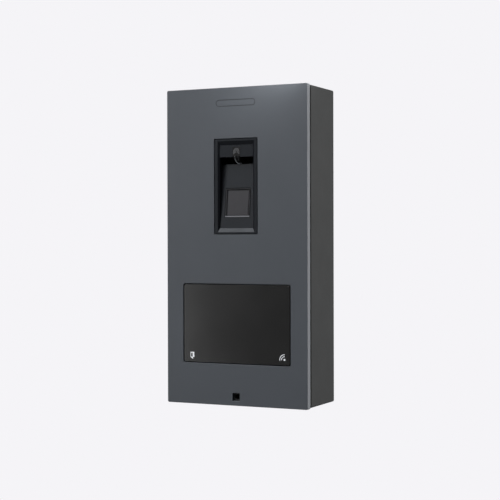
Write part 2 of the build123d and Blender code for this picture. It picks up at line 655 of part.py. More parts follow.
# ---- carrier ----------------------------------------------------------------------
PAD_RISE = TAPE_BACK - PLATE_BACK
FRONT_OVERHANG = 1.4
CHASSIS_CORNER = 2.0
CHASSIS_INNER_CORNER = 1.0
BOSS_R = 3.0
BOSS_HOLE_R = 1.0
BOSS_HOLE_DEPTH = 7.0
LAMP_HOLE_W = 2.2
LAMP_HOLE_H = 1.4
TONGUE_W = 12.0
TONGUE_LOW_Z = LOCK_BOSS_TOP_Z + 2.0
TONGUE_PLATE_T = 2.2
TONGUE_REACH = 3.5
WEB_OUT = 22.0
boss_points = [(x, z) for x in (-BOSS_X, BOSS_X) for z in BOSS_ROWS]
with BuildPart() as chassis:
    with BuildSketch(layer(CHASSIS_INNER)):
        with Locations((0, CHASSIS_MID_Z - FRONT_OVERHANG / 2)):
            RectangleRounded(CHASSIS_W, CHASSIS_H + FRONT_OVERHANG, CHASSIS_CORNER)
        with Locations((0, FINGER_Z)):
            Rectangle(BEZEL_W + 2 * FIT, BEZEL_H + 2 * FIT, mode=Mode.SUBTRACT)
    extrude(amount=CHASSIS_FRONT_T)
    with BuildSketch(layer(PLATE_BACK - FLANGE_T)):
        with Locations((0, FINGER_Z)):
            RectangleRounded(FLANGE_W + FIT, FLANGE_H + FIT, FLANGE_CORNER)
    extrude(amount=FLANGE_T, mode=Mode.SUBTRACT)
    with BuildSketch(layer(PLATE_BACK)):
        with Locations((0, GLASS_Z)):
            RectangleRounded(GLASS_W, GLASS_H, GLASS_CORNER)
    extrude(amount=PAD_RISE)
    with BuildSketch(layer(CHASSIS_REAR)):
        with Locations((0, CHASSIS_MID_Z)):
            RectangleRounded(CHASSIS_W, CHASSIS_H, CHASSIS_CORNER)
            inner = (CHASSIS_W - 2 * CHASSIS_WALL, CHASSIS_H - 2 * CHASSIS_WALL)
            RectangleRounded(*inner, CHASSIS_INNER_CORNER, mode=Mode.SUBTRACT)
    extrude(amount=CHASSIS_INNER - CHASSIS_REAR)
    with BuildSketch(layer(CHASSIS_REAR)):
        with Locations(*boss_points):
            Circle(BOSS_R)
    extrude(amount=CHASSIS_INNER - CHASSIS_REAR)
    with BuildSketch(layer(CHASSIS_REAR)):
        with Locations(*boss_points):
            Circle(BOSS_HOLE_R)
    extrude(amount=BOSS_HOLE_DEPTH, mode=Mode.SUBTRACT)
    with BuildSketch(layer(CHASSIS_INNER)):
        with Locations(*stud_points):
            Circle(STUD_R + FIT)
        with Locations((0, SOUND_HOLE_Z)):
            Circle(SOUND_HOLE_R)
        with Locations(*lamp_points):
            Rectangle(LAMP_HOLE_W, LAMP_HOLE_H)
    extrude(amount=CHASSIS_FRONT_T + PAD_RISE, mode=Mode.SUBTRACT)
    with BuildSketch(layer(PLATE_BACK - DUCT_T)):
        with Locations((0, (PORT_Z + SOUND_HOLE_Z) / 2)):
            SlotCenterToCenter(SOUND_HOLE_Z - PORT_Z, DUCT_W, rotation=90)
    extrude(amount=DUCT_T, mode=Mode.SUBTRACT)
    with BuildSketch(layer(READER_REAR - STAKE_HEAD)):
        with Locations((0, GLASS_Z)):
            with GridLocations(STAKE_X, STAKE_Z, 2, 2):
                Circle(STAKE_R)
    extrude(amount=READER_T + STAKE_HEAD)
    for x in (-HOOK_X, HOOK_X):
        with BuildSketch(Plane.YZ.offset(x - HOOK_W / 2)):
            with BuildLine():
                angles = (HOOK_START, (HOOK_START + HOOK_END) / 2, HOOK_END)
                inside = [about_pivot(HOOK_R, angle) for angle in angles]
                outside = [about_pivot(HOOK_R + HOOK_T, angle) for angle in angles]
                Line(inside[0], outside[0])
                ThreePointArc(*outside)
                Line(outside[2], inside[2])
                ThreePointArc(*reversed(inside))
            make_face()
        extrude(amount=HOOK_W)
    with BuildSketch(layer(WEB_OUT)):
        web_high_z = TONGUE_LOW_Z + TONGUE_PLATE_T
        with Locations((0, (web_high_z + CHASSIS_BOTTOM_Z) / 2)):
            Rectangle(TONGUE_W, web_high_z - CHASSIS_BOTTOM_Z)
    extrude(amount=TONGUE_PLATE_T)
    with BuildSketch(Plane.XY.offset(TONGUE_LOW_Z)):
        with Locations((0, -(LOCK_OUT + WEB_OUT - TONGUE_REACH) / 2)):
            Rectangle(TONGUE_W, WEB_OUT - LOCK_OUT + TONGUE_REACH)
        with Locations((0, -LOCK_OUT)):
            Circle(LOCK_PIN_R + FIT, mode=Mode.SUBTRACT)
    extrude(amount=TONGUE_PLATE_T)
save(chassis, "chassis")

# ---- sound port -------------------------------------------------------------------
DUCT_COLLAR = 3.85
DUCT_CORNER = 0.35
with BuildPart() as port_duct:
    with BuildSketch(layer(PLATE_BACK)):
        with Locations((0, PORT_Z)):
            RectangleRounded(DUCT_COLLAR, DUCT_COLLAR, DUCT_CORNER)
            Circle(DUCT_W / 2, mode=Mode.SUBTRACT)
    extrude(amount=DUCT_T)
save(port_duct, "port_duct")

BUZZER_W = 9.0
BUZZER_H = 8.0
BUZZER_CORNER = 0.6
BUZZER_T = 2.5
BUZZER_Z = SOUND_HOLE_Z + 2.7
MEMBRANE_T = 0.3
MEMBRANE_SIZE = 5.0
MEMBRANE_Z = SOUND_HOLE_Z + 1.2
with BuildPart() as port_membrane:
    with BuildSketch(layer(CHASSIS_INNER)):
        with Locations((0, MEMBRANE_Z)):
            Rectangle(MEMBRANE_SIZE, MEMBRANE_SIZE)
    extrude(amount=-MEMBRANE_T)
save(port_membrane, "port_membrane")

with BuildPart() as buzzer:
    with BuildSketch(layer(CHASSIS_INNER - MEMBRANE_T)):
        with Locations((0, BUZZER_Z)):
            RectangleRounded(BUZZER_W, BUZZER_H, BUZZER_CORNER)
        with Locations((0, SOUND_HOLE_Z)):
            Circle(SOUND_HOLE_R, mode=Mode.SUBTRACT)
    extrude(amount=-BUZZER_T)
save(buzzer, "buzzer")

# ---- main board -------------------------------------------------------------------
BOARD_CORNER = 1.5
SCREW_R = 1.0
SCREW_HOLE_R = 1.35
SCREW_GRIP = 5.0
with BuildPart() as main_board:
    with BuildSketch(layer(BOARD_REAR)):
        with Locations((0, BOARD_Z)):
            RectangleRounded(BOARD_W, BOARD_H, BOARD_CORNER)
        with Locations(*boss_points):
            Circle(SCREW_HOLE_R, mode=Mode.SUBTRACT)
    extrude(amount=BOARD_T)
save(main_board, "main_board")

HEAD_R = 2.2
HEAD_T = 1.5
HEX_R = 1.1
HEX_DEPTH = 0.8
with BuildPart() as board_screws:
    with BuildSketch(layer(BOARD_REAR)):
        with Locations(*boss_points):
            Circle(SCREW_R)
    extrude(amount=BOARD_T + SCREW_GRIP)
    with BuildSketch(layer(BOARD_REAR)):
        with Locations(*boss_points):
            Circle(HEAD_R)
    extrude(amount=-HEAD_T)
    with BuildSketch(layer(BOARD_REAR - HEAD_T)):
        with Locations(*boss_points):
            RegularPolygon(HEX_R, 6)
    extrude(amount=HEX_DEPTH, mode=Mode.SUBTRACT)
save(board_screws, "board_screws")

SHIELD_Z = 36.0
SHIELD_W = 22.0
SHIELD_H = 20.0
SHIELD_T = 2.4
SHIELD_CORNER = 0.8
CASE_BREAK = 0.4
with BuildPart() as processor_shield:
    with BuildSketch(layer(BOARD_REAR)):
        with Locations((0, SHIELD_Z)):
            RectangleRounded(SHIELD_W, SHIELD_H, SHIELD_CORNER)
    extrude(amount=-SHIELD_T)
    fillet(processor_shield.faces().sort_by(Axis.Y)[-1].edges(), CASE_BREAK)
save(processor_shield, "processor_shield")

# Flat chips: centre x, centre z, width, height.
chips = ((-20, 36, 7, 7), (20, 40, 6, 5), (20, 31, 5, 6), (-18, -13, 5, 5), (0, -13, 4, 6))
CHIP_T = 1.1
with BuildPart() as board_chips:
    for x, z, width, height in chips:
        with BuildSketch(layer(BOARD_REAR)):
            with Locations((x, z)):
                Rectangle(width, height)
        extrude(amount=-CHIP_T)
save(board_chips, "board_chips")

MAGNETICS_AT = (19.0, -14.0)
MAGNETICS_SIZE = (12.7, 9.5)
MAGNETICS_T = 2.6
with BuildPart() as network_magnetics:
    with BuildSketch(layer(BOARD_REAR)):
        with Locations(MAGNETICS_AT):
            RectangleRounded(*MAGNETICS_SIZE, CASE_BREAK)
    extrude(amount=-MAGNETICS_T)
save(network_magnetics, "network_magnetics")

RELAY_AT = (-17.0, 19.0)
RELAY_SIZE = (15.0, 10.5)
RELAY_T = 10.0
with BuildPart() as door_relay:
    with BuildSketch(layer(BOARD_REAR)):
        with Locations(RELAY_AT):
            RectangleRounded(*RELAY_SIZE, CASE_BREAK)
    extrude(amount=-RELAY_T)
    chamfer(door_relay.faces().sort_by(Axis.Y)[-1].edges(), CASE_BREAK)
save(door_relay, "door_relay")

CAPACITOR_X = 11.0
CAPACITOR_Z = 19.0
CAPACITOR_PITCH = 9.0
CAPACITOR_R = 3.15
CAPACITOR_H = 7.0
with BuildPart() as capacitors:
    with BuildSketch(layer(BOARD_REAR)):
        with Locations((CAPACITOR_X, CAPACITOR_Z)):
            with GridLocations(CAPACITOR_PITCH, 0, 3, 1):
                Circle(CAPACITOR_R)
    extrude(amount=-CAPACITOR_H)
    fillet(capacitors.edges().group_by(Axis.Y)[-1], CASE_BREAK)
save(capacitors, "capacitors")

# ---- pull-off wiring plug ---------------------------------------------------------
POLES = 8
POLE_PITCH = 3.5
HEADER_W = 31.0
HEADER_TOP_Z = -21.0
HEADER_MOUTH_Z = -31.0
HEADER_DEPTH = 8.0
HEADER_WALL = 1.0
HEADER_END_T = 2.0
PIN_W = 0.9
PIN_START_Z = HEADER_MOUTH_Z + 1.5
NOSE_TOP_Z = HEADER_TOP_Z - 2.3
PLUG_LOW_Z = -42.0
PLUG_GAP = 0.2
header_mid_out = BOARD_REAR - HEADER_DEPTH / 2
with BuildPart() as terminal_header:
    with BuildSketch(Plane.XY.offset(HEADER_MOUTH_Z)):
        with Locations((0, -header_mid_out)):
            Rectangle(HEADER_W, HEADER_DEPTH)
    extrude(amount=HEADER_TOP_Z - HEADER_MOUTH_Z)
    with BuildSketch(Plane.XY.offset(HEADER_MOUTH_Z)):
        with Locations((0, -header_mid_out)):
            Rectangle(HEADER_W - 2 * HEADER_WALL, HEADER_DEPTH - 2 * HEADER_WALL)
    extrude(amount=HEADER_TOP_Z - HEADER_MOUTH_Z - HEADER_END_T, mode=Mode.SUBTRACT)
save(terminal_header, "terminal_header")

with BuildPart() as terminal_pins:
    with BuildSketch(Plane.XY.offset(PIN_START_Z)):
        with Locations((0, -header_mid_out)):
            with GridLocations(POLE_PITCH, 0, POLES, 1):
                Rectangle(PIN_W, PIN_W)
    extrude(amount=HEADER_TOP_Z - HEADER_END_T - PIN_START_Z)
save(terminal_pins, "terminal_pins")

PLUG_W = HEADER_W - 2 * HEADER_WALL - 2 * PLUG_GAP
PLUG_DEPTH = HEADER_DEPTH - 2 * HEADER_WALL - 2 * PLUG_GAP
PLUG_BODY_DEPTH = 7.6
PLUG_BODY_REAR = header_mid_out - PLUG_BODY_DEPTH / 2
PLUG_SCREW_Z = (HEADER_MOUTH_Z + PLUG_LOW_Z) / 2
PIN_HOLE_W = 1.4
PIN_HOLE_DEPTH = 8.0
WIRE_HOLE_R = 1.1
WIRE_HOLE_DEPTH = 6.0
WIRE_HOLE_SHIFT = 1.0
SCREW_WELL_R = 1.3
SCREW_WELL_DEPTH = 1.5
with BuildPart() as terminal_plug:
    with BuildSketch(Plane.XY.offset(HEADER_MOUTH_Z)):
        with Locations((0, -header_mid_out)):
            Rectangle(PLUG_W, PLUG_DEPTH)
    extrude(amount=NOSE_TOP_Z - HEADER_MOUTH_Z)
    with BuildSketch(Plane.XY.offset(HEADER_MOUTH_Z - PLUG_GAP)):
        with Locations((0, -header_mid_out)):
            Rectangle(PLUG_W, PLUG_BODY_DEPTH)
    extrude(amount=PLUG_LOW_Z - HEADER_MOUTH_Z)
    with BuildSketch(Plane.XY.offset(HEADER_MOUTH_Z - PLUG_GAP)):
        with Locations((0, -header_mid_out)):
            Rectangle(PLUG_W, PLUG_DEPTH)
    extrude(amount=PLUG_GAP)
    with BuildSketch(Plane.XY.offset(NOSE_TOP_Z)):
        with Locations((0, -header_mid_out)):
            with GridLocations(POLE_PITCH, 0, POLES, 1):
                Rectangle(PIN_HOLE_W, PIN_HOLE_W)
    extrude(amount=-PIN_HOLE_DEPTH, mode=Mode.SUBTRACT)
    with BuildSketch(Plane.XY.offset(PLUG_LOW_Z - PLUG_GAP)):
        with Locations((0, -header_mid_out - WIRE_HOLE_SHIFT)):
            with GridLocations(POLE_PITCH, 0, POLES, 1):
                Circle(WIRE_HOLE_R)
    extrude(amount=WIRE_HOLE_DEPTH, mode=Mode.SUBTRACT)
    with BuildSketch(layer(PLUG_BODY_REAR)):
        with Locations((0, PLUG_SCREW_Z)):
            with GridLocations(POLE_PITCH, 0, POLES, 1):
                Circle(SCREW_WELL_R)
    extrude(amount=SCREW_WELL_DEPTH, mode=Mode.SUBTRACT)
save(terminal_plug, "terminal_plug")

CLAMP_R = 1.2
CLAMP_T = 1.1
CLAMP_SLOT = (2.6, 0.4)
CLAMP_SLOT_DEPTH = 0.5
with BuildPart() as terminal_screws:
    with BuildSketch(layer(PLUG_BODY_REAR + SCREW_WELL_DEPTH)):
        with Locations((0, PLUG_SCREW_Z)):
            with GridLocations(POLE_PITCH, 0, POLES, 1):
                Circle(CLAMP_R)
    extrude(amount=-CLAMP_T)
    with BuildSketch(layer(PLUG_BODY_REAR + SCREW_WELL_DEPTH - CLAMP_T)):
        with Locations((0, PLUG_SCREW_Z)):
            with GridLocations(POLE_PITCH, 0, POLES, 1):
                Rectangle(*CLAMP_SLOT)
    extrude(amount=CLAMP_SLOT_DEPTH, mode=Mode.SUBTRACT)
save(terminal_screws, "terminal_screws")

# ---- opening alarm switch and reset button ----------------------------------------
TAMPER_X = -25.0
TAMPER_Z = -44.0
TAMPER_BODY = 6.0
TAMPER_BODY_T = 4.5
SWITCH_CORNER = 0.3
PLUNGER_R = 1.2
PLUNGER_END = 10.2
PLUNGER_ROOT = 1.0
PLUNGER_NOSE = 0.4
PLUNGER_WELL = 2.5
TAMPER_REAR = BOARD_REAR - TAMPER_BODY_T
with BuildPart() as tamper_switch:
    with BuildSketch(layer(BOARD_REAR)):
        with Locations((TAMPER_X, TAMPER_Z)):
            RectangleRounded(TAMPER_BODY, TAMPER_BODY, SWITCH_CORNER)
    extrude(amount=-TAMPER_BODY_T)
    with BuildSketch(layer(TAMPER_REAR)):
        with Locations((TAMPER_X, TAMPER_Z)):
            Circle(PLUNGER_R + RUN)
    extrude(amount=PLUNGER_WELL, mode=Mode.SUBTRACT)
save(tamper_switch, "tamper_switch")

with BuildPart() as tamper_plunger:
    with BuildSketch(layer(TAMPER_REAR + PLUNGER_ROOT)):
        with Locations((TAMPER_X, TAMPER_Z)):
            Circle(PLUNGER_R)
    extrude(amount=PLUNGER_END - PLUNGER_ROOT - TAMPER_REAR)
    fillet(tamper_plunger.edges().group_by(Axis.Y)[-1], PLUNGER_NOSE)
save(tamper_plunger, "tamper_plunger")

RESET_X = 24.0
RESET_Z = -44.0
RESET_BODY = 6.0
RESET_BODY_T = 3.2
RESET_R = 1.5
RESET_WELL = 1.0
RESET_ROOT = 0.6
RESET_LENGTH = 2.2
RESET_BREAK = 0.2
RESET_REAR = BOARD_REAR - RESET_BODY_T
with BuildPart() as reset_switch:
    with BuildSketch(layer(BOARD_REAR)):
        with Locations((RESET_X, RESET_Z)):
            RectangleRounded(RESET_BODY, RESET_BODY, SWITCH_CORNER)
    extrude(amount=-RESET_BODY_T)
    with BuildSketch(layer(RESET_REAR)):
        with Locations((RESET_X, RESET_Z)):
            Circle(RESET_R + RUN)
    extrude(amount=RESET_WELL, mode=Mode.SUBTRACT)
save(reset_switch, "reset_switch")

with BuildPart() as reset_button:
    with BuildSketch(layer(RESET_REAR + RESET_ROOT)):
        with Locations((RESET_X, RESET_Z)):
            Circle(RESET_R)
    extrude(amount=-RESET_LENGTH)
    chamfer(reset_button.edges().group_by(Axis.Y)[-1], RESET_BREAK)
save(reset_button, "reset_button")

# ---- wall box ---------------------------------------------------------------------
LOCK_BOSS_R = 4.5
BOX_INNER_CORNER = 1.5
SEAL_CORNER = 1.0
LEDGE_FRONT = 2.2
LEDGE_LOW = 4.9
LEDGE_HIGH = HALF_H - BOX_INNER_TOP_Z - 0.3
LEDGE_R = HOOK_R - HOOK_GAP
LEDGE_W = HOOK_W + 2.0
POST_R = 2.5
POST_GAP = 0.3
NECK_R = 9.0
GROMMET_R = 11.0
GROMMET_RECESS = 1.0
ledge_low_angle = -degrees(asin(LEDGE_LOW / LEDGE_R))
ledge_high_angle = -degrees(asin(LEDGE_HIGH / LEDGE_R))
seal_outer = (BOX_W - 2 * SEAL_INSET, BOX_H - 2 * SEAL_INSET)
seal_inner = (seal_outer[0] - 2 * SEAL_W, seal_outer[1] - 2 * SEAL_W)
with BuildPart() as back_box:
    with BuildSketch(Plane.XZ):
        RectangleRounded(BOX_W, BOX_H, PLATE_CORNER)
    extrude(amount=BOX_FRONT)
    fillet(back_box.faces().sort_by(Axis.Y)[-1].edges(), BOX_REAR_ROUND)
    with BuildSketch(layer(BOX_BACK_T)):
        RectangleRounded(BOX_W - 2 * BOX_WALL, BOX_H - 2 * BOX_WALL, BOX_INNER_CORNER)
    extrude(amount=BOX_FRONT, mode=Mode.SUBTRACT)
    with BuildSketch(layer(BOX_FRONT)):
        RectangleRounded(*seal_outer, SEAL_CORNER)
        RectangleRounded(*seal_inner, SEAL_CORNER, mode=Mode.SUBTRACT)
    extrude(amount=-SEAL_GROOVE, mode=Mode.SUBTRACT)
    for x in (-HOOK_X, HOOK_X):
        with BuildSketch(Plane.YZ.offset(x - LEDGE_W / 2)):
            with BuildLine():
                low_end = about_pivot(LEDGE_R, ledge_low_angle)
                high_end = about_pivot(LEDGE_R, ledge_high_angle)
                middle = about_pivot(LEDGE_R, (ledge_low_angle + ledge_high_angle) / 2)
                front_y = -PLATE_BACK + LEDGE_FRONT
                Polyline(high_end, (front_y, high_end[1]), (front_y, low_end[1]), low_end)
                ThreePointArc(low_end, middle, high_end)
            make_face()
        extrude(amount=LEDGE_W)
    wall_mid_z = (BOX_WALL - BOX_H) / 2
    with BuildSketch(Plane.XY.offset(wall_mid_z)):
        with Locations((0, -LOCK_OUT)):
            Circle(LOCK_BOSS_R)
    extrude(amount=LOCK_BOSS_TOP_Z - wall_mid_z)
    with BuildSketch(Plane.XY.offset(-BOX_H / 2)):
        with Locations((0, -LOCK_OUT)):
            Circle(LOCK_R + RUN)
    extrude(amount=LOCK_BOSS_TOP_Z + BOX_H / 2, mode=Mode.SUBTRACT)
    with BuildSketch(layer(BOX_BACK_T / 2)):
        with Locations((TAMPER_X, TAMPER_Z)):
            Circle(POST_R)
    extrude(amount=PLUNGER_END - POST_GAP - BOX_BACK_T / 2)
    with BuildSketch(Plane.XZ):
        with GridLocations(SLOT_X, SLOT_Z, 2, 2):
            SlotOverall(SLOT_LENGTH, SLOT_W)
        with Locations((0, CABLE_Z)):
            Circle(NECK_R)
    extrude(amount=BOX_BACK_T, mode=Mode.SUBTRACT)
    with BuildSketch(Plane.XZ):
        with Locations((0, CABLE_Z)):
            Circle(GROMMET_R + RUN)
    extrude(amount=GROMMET_RECESS, mode=Mode.SUBTRACT)
save(back_box, "back_box")

with BuildPart() as seal_gasket:
    with BuildSketch(layer(BOX_FRONT - SEAL_GROOVE)):
        RectangleRounded(*seal_outer, SEAL_CORNER)
        RectangleRounded(*seal_inner, SEAL_CORNER, mode=Mode.SUBTRACT)
    extrude(amount=SEAL_GROOVE + SEAM)
save(seal_gasket, "seal_gasket")

INNER_FLANGE_T = 1.2
with BuildPart() as cable_grommet:
    with BuildSketch(Plane.XZ):
        with Locations((0, CABLE_Z)):
            Circle(GROMMET_R)
    extrude(amount=GROMMET_RECESS)
    with BuildSketch(Plane.XZ):
        with Locations((0, CABLE_Z)):
            Circle(NECK_R)
    extrude(amount=BOX_BACK_T)
    with BuildSketch(layer(BOX_BACK_T)):
        with Locations((0, CABLE_Z)):
            Circle(GROMMET_R)
    extrude(amount=INNER_FLANGE_T)
    with BuildSketch(Plane.XZ):
        with Locations((0, CABLE_Z)):
            Circle(CABLE_HOLE_R)
    extrude(amount=BOX_BACK_T + INNER_FLANGE_T, mode=Mode.SUBTRACT)
save(cable_grommet, "cable_grommet")

# ---- lock: a set screw in the box pushes a steel pin up into the carrier's tongue ---
LOCK_PIN_LENGTH = 4.0
PIN_HIGH_Z = LOCK_BOSS_TOP_Z + 1.2
PIN_LOW_Z = PIN_HIGH_Z - LOCK_PIN_LENGTH
SCREW_LOW_Z = PIN_LOW_Z - LOCK_LENGTH
LOCK_HEX_R = 1.15
LOCK_HEX_DEPTH = 2.5
with BuildPart() as lock_pin:
    with BuildSketch(Plane.XY.offset(PIN_LOW_Z)):
        with Locations((0, -LOCK_OUT)):
            Circle(LOCK_PIN_R)
    extrude(amount=LOCK_PIN_LENGTH)
    chamfer(lock_pin.edges().group_by(Axis.Z)[-1], EDGE_BREAK)
save(lock_pin, "lock_pin")

with BuildPart() as lock_screw:
    with BuildSketch(Plane.XY.offset(SCREW_LOW_Z)):
        with Locations((0, -LOCK_OUT)):
            Circle(LOCK_R)
    extrude(amount=LOCK_LENGTH)
    with BuildSketch(Plane.XY.offset(SCREW_LOW_Z)):
        with Locations((0, -LOCK_OUT)):
            RegularPolygon(LOCK_HEX_R, 6)
    extrude(amount=LOCK_HEX_DEPTH, mode=Mode.SUBTRACT)
    chamfer(lock_screw.edges().group_by(Axis.Z)[-1], EDGE_BREAK)
save(lock_screw, "lock_screw")
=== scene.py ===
import math
import random

import bmesh
import bpy
from mathutils import Matrix, Vector


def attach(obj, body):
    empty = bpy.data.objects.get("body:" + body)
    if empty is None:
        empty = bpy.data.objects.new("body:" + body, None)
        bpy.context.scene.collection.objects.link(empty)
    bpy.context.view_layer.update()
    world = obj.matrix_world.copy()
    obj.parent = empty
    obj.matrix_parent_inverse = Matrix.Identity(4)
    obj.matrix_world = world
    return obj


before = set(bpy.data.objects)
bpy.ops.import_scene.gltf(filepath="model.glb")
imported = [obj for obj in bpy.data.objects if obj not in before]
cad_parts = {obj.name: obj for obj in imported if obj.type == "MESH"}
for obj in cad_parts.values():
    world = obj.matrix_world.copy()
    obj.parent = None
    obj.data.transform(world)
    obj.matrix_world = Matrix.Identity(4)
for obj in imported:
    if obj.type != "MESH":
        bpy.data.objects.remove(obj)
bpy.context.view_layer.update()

# Looks of the wall-mounted fingerprint and card terminal, in the part's own frame:
# the wall is the plane y = 0, the front faces -y, +z is up.
# Shapes are written in mm and lights in metres. "Out" is the distance from the wall.
MM = 0.001


# ---- camera -----------------------------------------------------------------------
CAMERA_AT = Vector((284.776, -607.024, 3.677)) * MM
CAMERA_RIGHT = Vector((0.9003454, 0.4351689, -0.0024852))
CAMERA_UP = Vector((-0.001429, 0.0086673, 0.9999614))
LENS = 93.6
SENSOR_WIDTH = 36.0
CLIP_START = 0.01


def place_camera():
    data = bpy.data.cameras.new("camera")
    data.lens = LENS
    data.sensor_width = SENSOR_WIDTH
    data.clip_start = CLIP_START
    camera = bpy.data.objects.new("camera", data)
    back = CAMERA_RIGHT.cross(CAMERA_UP)
    turn = Matrix((CAMERA_RIGHT, CAMERA_UP, back)).transposed()
    camera.matrix_world = Matrix.Translation(CAMERA_AT) @ turn.to_4x4()
    bpy.context.scene.collection.objects.link(camera)
    bpy.context.scene.camera = camera


# ---- studio -----------------------------------------------------------------------
FLOOR_Z = -0.30
FLOOR_RADIUS = 0.5
BACKDROP = (0.913, 0.905, 0.931)
AMBIENT = 0.03
FRONT_CENTRE = (0, -0.034, 0)
# Name, azimuth, elevation, distance, size, power and target
LIGHTS = [
    ("key_high", -16, 62, 3.2, (2.0, 2.0), 86, FRONT_CENTRE),
    ("bevel_softbox", -34, 39, 1.3, (0.7, 0.7), 6, FRONT_CENTRE),
    ("left_card", -44, 0, 1.0, (0.45, 0.6), 1.5, FRONT_CENTRE),
    ("low_fill", 12, -38, 1.3, (0.9, 0.6), 3.8, (0.01, -0.034, -0.08)),
    ("side_rim", 102, 12, 1.0, (0.5, 0.6), 12, FRONT_CENTRE),
    ("top_strip", 35, 50, 0.024, (0.06, 0.006), 0.008, (0.012, -0.034, 0.068)),
    ("back_fill", -150, 20, 2.2, (1.0, 1.0), 20, FRONT_CENTRE),
]


def area_light(name, azimuth, elevation, distance, size, power, target):
    """Soft light seen from its target at an azimuth, 0 in front and minus to the left, and an elevation."""
    data = bpy.data.lights.new(name, "AREA")
    data.shape = "RECTANGLE"
    data.size, data.size_y = size
    data.energy = power
    light = bpy.data.objects.new(name, data)
    turn, rise = math.radians(azimuth), math.radians(elevation)
    out = Vector((math.sin(turn) * math.cos(rise), -math.cos(turn) * math.cos(rise), math.sin(rise)))
    light.location = Vector(target) + out * distance
    light.rotation_euler = out.to_track_quat("Z", "Y").to_euler()
    light.visible_camera = False
    bpy.context.scene.collection.objects.link(light)


def studio():
    scene = bpy.context.scene
    scene.view_settings.view_transform = "Standard"
    world = bpy.data.worlds.new("studio")
    scene.world = world
    world.use_nodes = True
    nodes, links = world.node_tree.nodes, world.node_tree.links
    nodes.clear()
    out = nodes.new("ShaderNodeOutputWorld")
    mix = nodes.new("ShaderNodeMixShader")
    seen = nodes.new("ShaderNodeBackground")
    ambient = nodes.new("ShaderNodeBackground")
    path = nodes.new("ShaderNodeLightPath")
    seen.inputs["Color"].default_value = (*BACKDROP, 1)
    ambient.inputs["Color"].default_value = (1, 1, 1, 1)
    ambient.inputs["Strength"].default_value = AMBIENT
    links.new(path.outputs["Is Camera Ray"], mix.inputs["Fac"])
    links.new(ambient.outputs[0], mix.inputs[1])
    links.new(seen.outputs[0], mix.inputs[2])
    links.new(mix.outputs[0], out.inputs["Surface"])
    for light in LIGHTS:
        area_light(*light)


def pale_floor():
    mesh = bpy.data.meshes.new("floor")
    form = bmesh.new()
    bmesh.ops.create_circle(form, cap_ends=True, segments=96, radius=FLOOR_RADIUS)
    form.to_mesh(mesh)
    form.free()
    floor = bpy.data.objects.new("floor", mesh)
    floor.location.z = FLOOR_Z
    floor.visible_diffuse = False
    floor.visible_glossy = False
    bpy.context.scene.collection.objects.link(floor)
    mesh.materials.append(surface("floor_paper", (0.8, 0.8, 0.8), 0.8, (40, 0.02), (1.0, 0.02)))


# ---- material parts ---------------------------------------------------------------
def material(name):
    mat = bpy.data.materials.new(name)
    mat.use_nodes = True
    tree = mat.node_tree
    return mat, tree.nodes, tree.links, tree.nodes["Principled BSDF"]


def place(nodes):
    """Object coordinates, in metres."""
    return nodes.new("ShaderNodeTexCoord").outputs["Object"]


def axes(nodes, links):
    """The x, y and z of the object coordinates."""
    split = nodes.new("ShaderNodeSeparateXYZ")
    links.new(place(nodes), split.inputs[0])
    return split.outputs[0], split.outputs[1], split.outputs[2]


def calc(nodes, links, operation, *values):
    """One sum on sockets or plain numbers."""
    node = nodes.new("ShaderNodeMath")
    node.operation = operation
    for socket, value in zip(node.inputs, values):
        if isinstance(value, (int, float)):
            socket.default_value = value
        else:
            links.new(value, socket)
    return node.outputs[0]


def noise(nodes, links, size_mm, detail=3.0, rough=0.5, stretch=None):
    """Noise whose features are about size_mm across."""
    node = nodes.new("ShaderNodeTexNoise")
    node.inputs["Scale"].default_value = 1.0 / (size_mm * MM)
    node.inputs["Detail"].default_value = detail
    node.inputs["Roughness"].default_value = rough
    vector = place(nodes)
    if stretch:
        mapping = nodes.new("ShaderNodeMapping")
        mapping.inputs["Scale"].default_value = stretch
        links.new(vector, mapping.inputs["Vector"])
        vector = mapping.outputs["Vector"]
    links.new(vector, node.inputs["Vector"])
    return node.outputs["Fac"]


def spread(nodes, links, value, low, high, start=0.3, end=0.7):
    """Maps a noise value to a range."""
    node = nodes.new("ShaderNodeMapRange")
    node.inputs["From Min"].default_value = start
    node.inputs["From Max"].default_value = end
    node.inputs["To Min"].default_value = low
    node.inputs["To Max"].default_value = high
    links.new(value, node.inputs["Value"])
    return node.outputs["Result"]


def two_tone(nodes, links, value, dark, light):
    """Colour that runs between two tones, each a colour or a socket, with a value."""
    node = nodes.new("ShaderNodeMix")
    node.data_type = "RGBA"
    links.new(value, node.inputs[0])
    for socket, tone in ((node.inputs[6], dark), (node.inputs[7], light)):
        if isinstance(tone, (tuple, list)):
            socket.default_value = (*tone, 1)
        else:
            links.new(tone, socket)
    return node.outputs[2]


def bump(nodes, links, height, depth_mm):
    """Bump whose full height is depth_mm."""
    node = nodes.new("ShaderNodeBump")
    node.inputs["Strength"].default_value = 1.0
    node.inputs["Distance"].default_value = depth_mm * MM
    links.new(height, node.inputs["Height"])
    return node.outputs["Normal"]


def mottled(nodes, links, colour, size, amount):
    """Colour with soft patches a little darker and lighter than it."""
    dark = [c * (1 - amount) for c in colour]
    light = [c * (1 + amount) for c in colour]
    patch = noise(nodes, links, size, 4.0)
    return two_tone(nodes, links, spread(nodes, links, patch, 0.0, 1.0), dark, light)


def set_sockets(shader, sockets):
    for socket, value in sockets.items():
        shader.inputs[socket.replace("_", " ")].default_value = value


